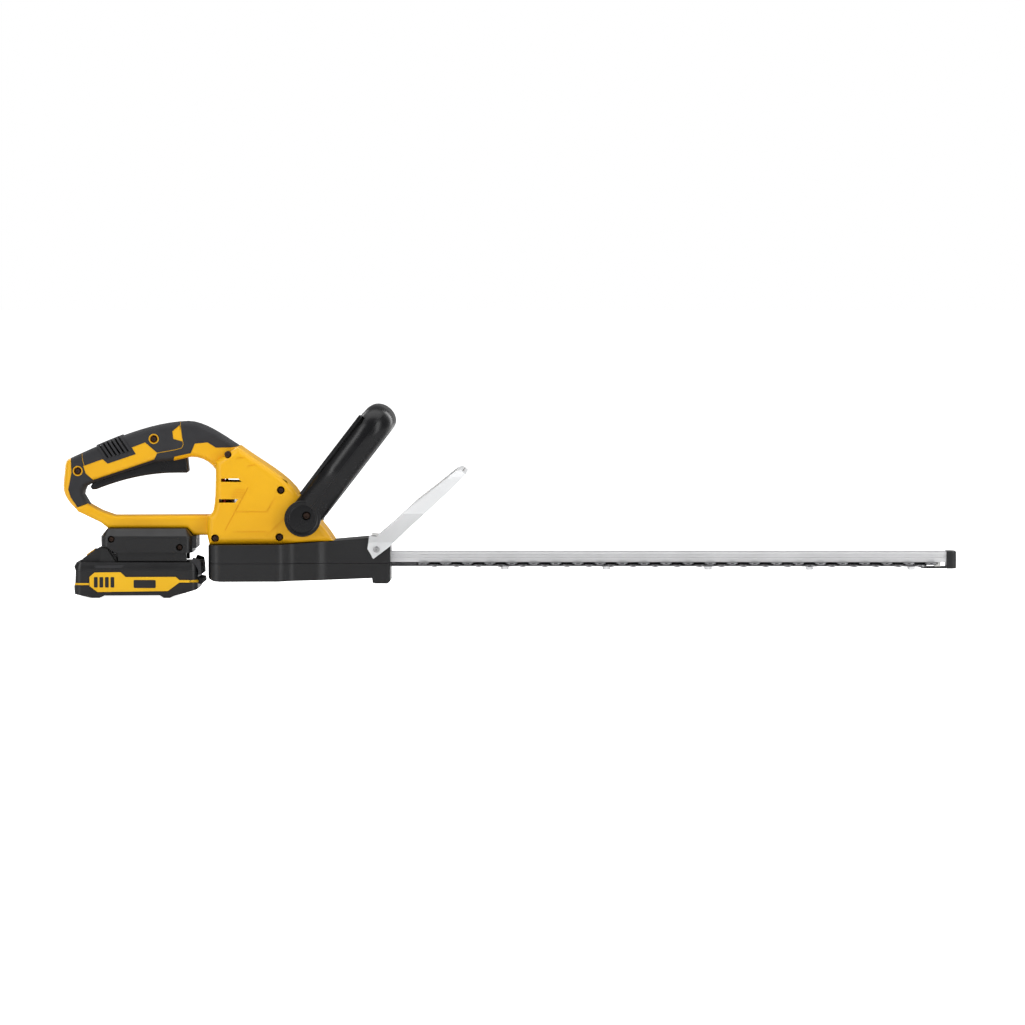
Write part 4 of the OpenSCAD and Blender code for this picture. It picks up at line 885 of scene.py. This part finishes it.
def bladeStrip(name, z, first, count, grindUp):
    last = first + (count - 1) * cutter["pitch"]
    crank = cutter["crankX"]
    yoke = [(crank - 17.8, -22), (crank + 17.8, -22), (crank + 17.8, -10), (first - 12, -10),
            (last + 7, -10), (last + 7, 10), (first - 12, 10), (crank + 17.8, 10), (crank + 17.8, 22),
            (crank - 17.8, 22)]
    strip = prism(name, yoke, z, z + cutter["thick"], "z")
    bm = bmesh.new()
    addPrism(bm, [(crank - 13.4, -17.8), (crank + 13.4, -17.8), (crank + 13.4, 17.8), (crank - 13.4, 17.8)],
             z - 2, z + 5, "z")
    for x in cutter["bolts"]:
        addPrism(bm, roundedPlan(x - 9.8, x + 9.8, 3.8, 3.79, 6), z - 2, z + 5, "z")
    for x in (207, 227):
        addPrism(bm, roundedPlan(x - 8.8, x + 8.8, 2.8, 2.79, 6), z - 2, z + 5, "z")
    addPrism(bm, [(786, -9.3), (820, -9.3), (820, 9.3), (786, 9.3)], z - 2, z + 5, "z")
    combine(strip, [newObject("slots", bm)])
    bm = bmesh.new()
    bm.from_mesh(strip.data)
    bpy.data.objects.remove(strip)
    for side in (-1, 1):
        for i in range(count):
            addTooth(bm, first + i * cutter["pitch"], side, z, grindUp)
    return newObject(name, bm)


finish(bladeStrip("blade_top_strip", cutter["upperZ"], cutter["first"], cutter["count"], True),
       "blade_top", "blade_steel", ["blade_upper"], bevel=0)
finish(bladeStrip("blade_bottom_strip", cutter["lowerZ"], cutter["first"] + 11, cutter["count"] - 1, False),
       "blade_bottom", "blade_steel", ["blade_lower"], bevel=0)
bm = bmesh.new()
for x in cutter["bolts"]:
    lathe(bm, [(0, 27.4), (3.4, 27.4), (4.1, 28), (4.2, 30.2), (4.6, 30.5), (8.7, 30.6), (9, 30.8),
               (9, 31.1), (2.4, 31.1), (2.4, 43), (0, 43)], (x, 0, 0), (0, 0, 1), 32)
boltSet = newObject("blade_bolt_set", bm)
finish(boltSet, "housing", "rail_aluminium", ["blade_bolts"], bevel=0)
print("blades made")


finish(softened("hand_guard"), "housing", "clear_guard", ["hand_guard"], bevel=0.3)
finish(softened("tip_guard"), "housing", "black_plastic", ["tip_guard"], bevel=0.8, segments=3)
bm = bmesh.new()
for side in (-1, 1):
    screw(bm, (235.5, side * 36.2, 49), (0, side, 0), radius=3.1, length=12)
finish(newObject("guard_screw_set", bm), "housing", "steel", ["guard_screws"], bevel=0)
print("small parts made")


stage = {"radius": 60, "drop": 0.0005, "color": (0.92, 0.92, 0.92, 1), "rough": 0.9, "room": 0.3}
bm = bmesh.new()
bmesh.ops.create_circle(bm, cap_ends=True, radius=stage["radius"], segments=96)
studioFloor = newObject("studioFloor", bm)
studioFloor.location.z = -stage["drop"]
floorMaterial, floorNodes, floorLinks, floorShader = newMaterial("paleFloor")
floorShader.inputs["Base Color"].default_value = stage["color"]
floorShader.inputs["Roughness"].default_value = stage["rough"]
floorShader.inputs["Specular IOR Level"].default_value = 0
floorShader.inputs["Emission Color"].default_value = (1, 1, 1, 1)
floorSeen = floorNodes.new("ShaderNodeLightPath").outputs["Is Camera Ray"]
floorLinks.new(floorSeen, floorShader.inputs["Emission Strength"])
studioFloor.data.materials.append(floorMaterial)

scene = bpy.context.scene
world = bpy.data.worlds.new("studio")
scene.world = world
world.use_nodes = True
worldNodes, worldLinks = world.node_tree.nodes, world.node_tree.links
worldNodes.clear()
output = worldNodes.new("ShaderNodeOutputWorld")
blend = worldNodes.new("ShaderNodeMixShader")
path = worldNodes.new("ShaderNodeLightPath")
roomLight = worldNodes.new("ShaderNodeBackground")
roomLight.inputs["Strength"].default_value = stage["room"]
seenLight = worldNodes.new("ShaderNodeBackground")
seenLight.inputs["Color"].default_value = (1, 1, 1, 1)
worldLinks.new(path.outputs["Is Camera Ray"], blend.inputs[0])
worldLinks.new(roomLight.outputs[0], blend.inputs[1])
worldLinks.new(seenLight.outputs[0], blend.inputs[2])
worldLinks.new(blend.outputs[0], output.inputs[0])


def softbox(name, azimuth, elevation, distance, size, power):
    light = bpy.data.lights.new(name, "AREA")
    light.shape = "RECTANGLE"
    light.size, light.size_y = size
    light.energy = power
    lamp = bpy.data.objects.new(name, light)
    a, e = math.radians(azimuth), math.radians(elevation)
    back = Vector((math.sin(a) * math.cos(e), -math.cos(a) * math.cos(e), math.sin(e)))
    lamp.location = Vector((0, 0, 0.1)) + back * distance
    lamp.rotation_euler = (-back).to_track_quat("-Z", "Y").to_euler()
    lamp.visible_camera = False
    scene.collection.objects.link(lamp)


softbox("topBox", 0, 88, 2.6, (3.2, 2.2), 45)
for index, azimuth in enumerate((-42, 42, 138, -138)):
    softbox("sideBox%d" % index, azimuth, 20, 3.0, (0.8, 3), 34)
print("lights made")

view = {"aim": (0.0028, 0, 0.0838), "distance": 6.0, "azimuth": 0.6, "elevation": 2.2, "across": 1.025}
camera = bpy.data.cameras.new("camera")
camera.sensor_width = 36
camera.lens = 36 * view["distance"] / view["across"]
cameraObject = bpy.data.objects.new("camera", camera)
scene.collection.objects.link(cameraObject)
a, e = math.radians(view["azimuth"]), math.radians(view["elevation"])
back = Vector((math.sin(a) * math.cos(e), -math.cos(a) * math.cos(e), math.sin(e)))
cameraObject.location = Vector(view["aim"]) + back * view["distance"]
cameraObject.rotation_euler = (-back).to_track_quat("-Z", "Y").to_euler()
camera.clip_end = 200
scene.camera = cameraObject
scene.view_settings.view_transform = "Standard"
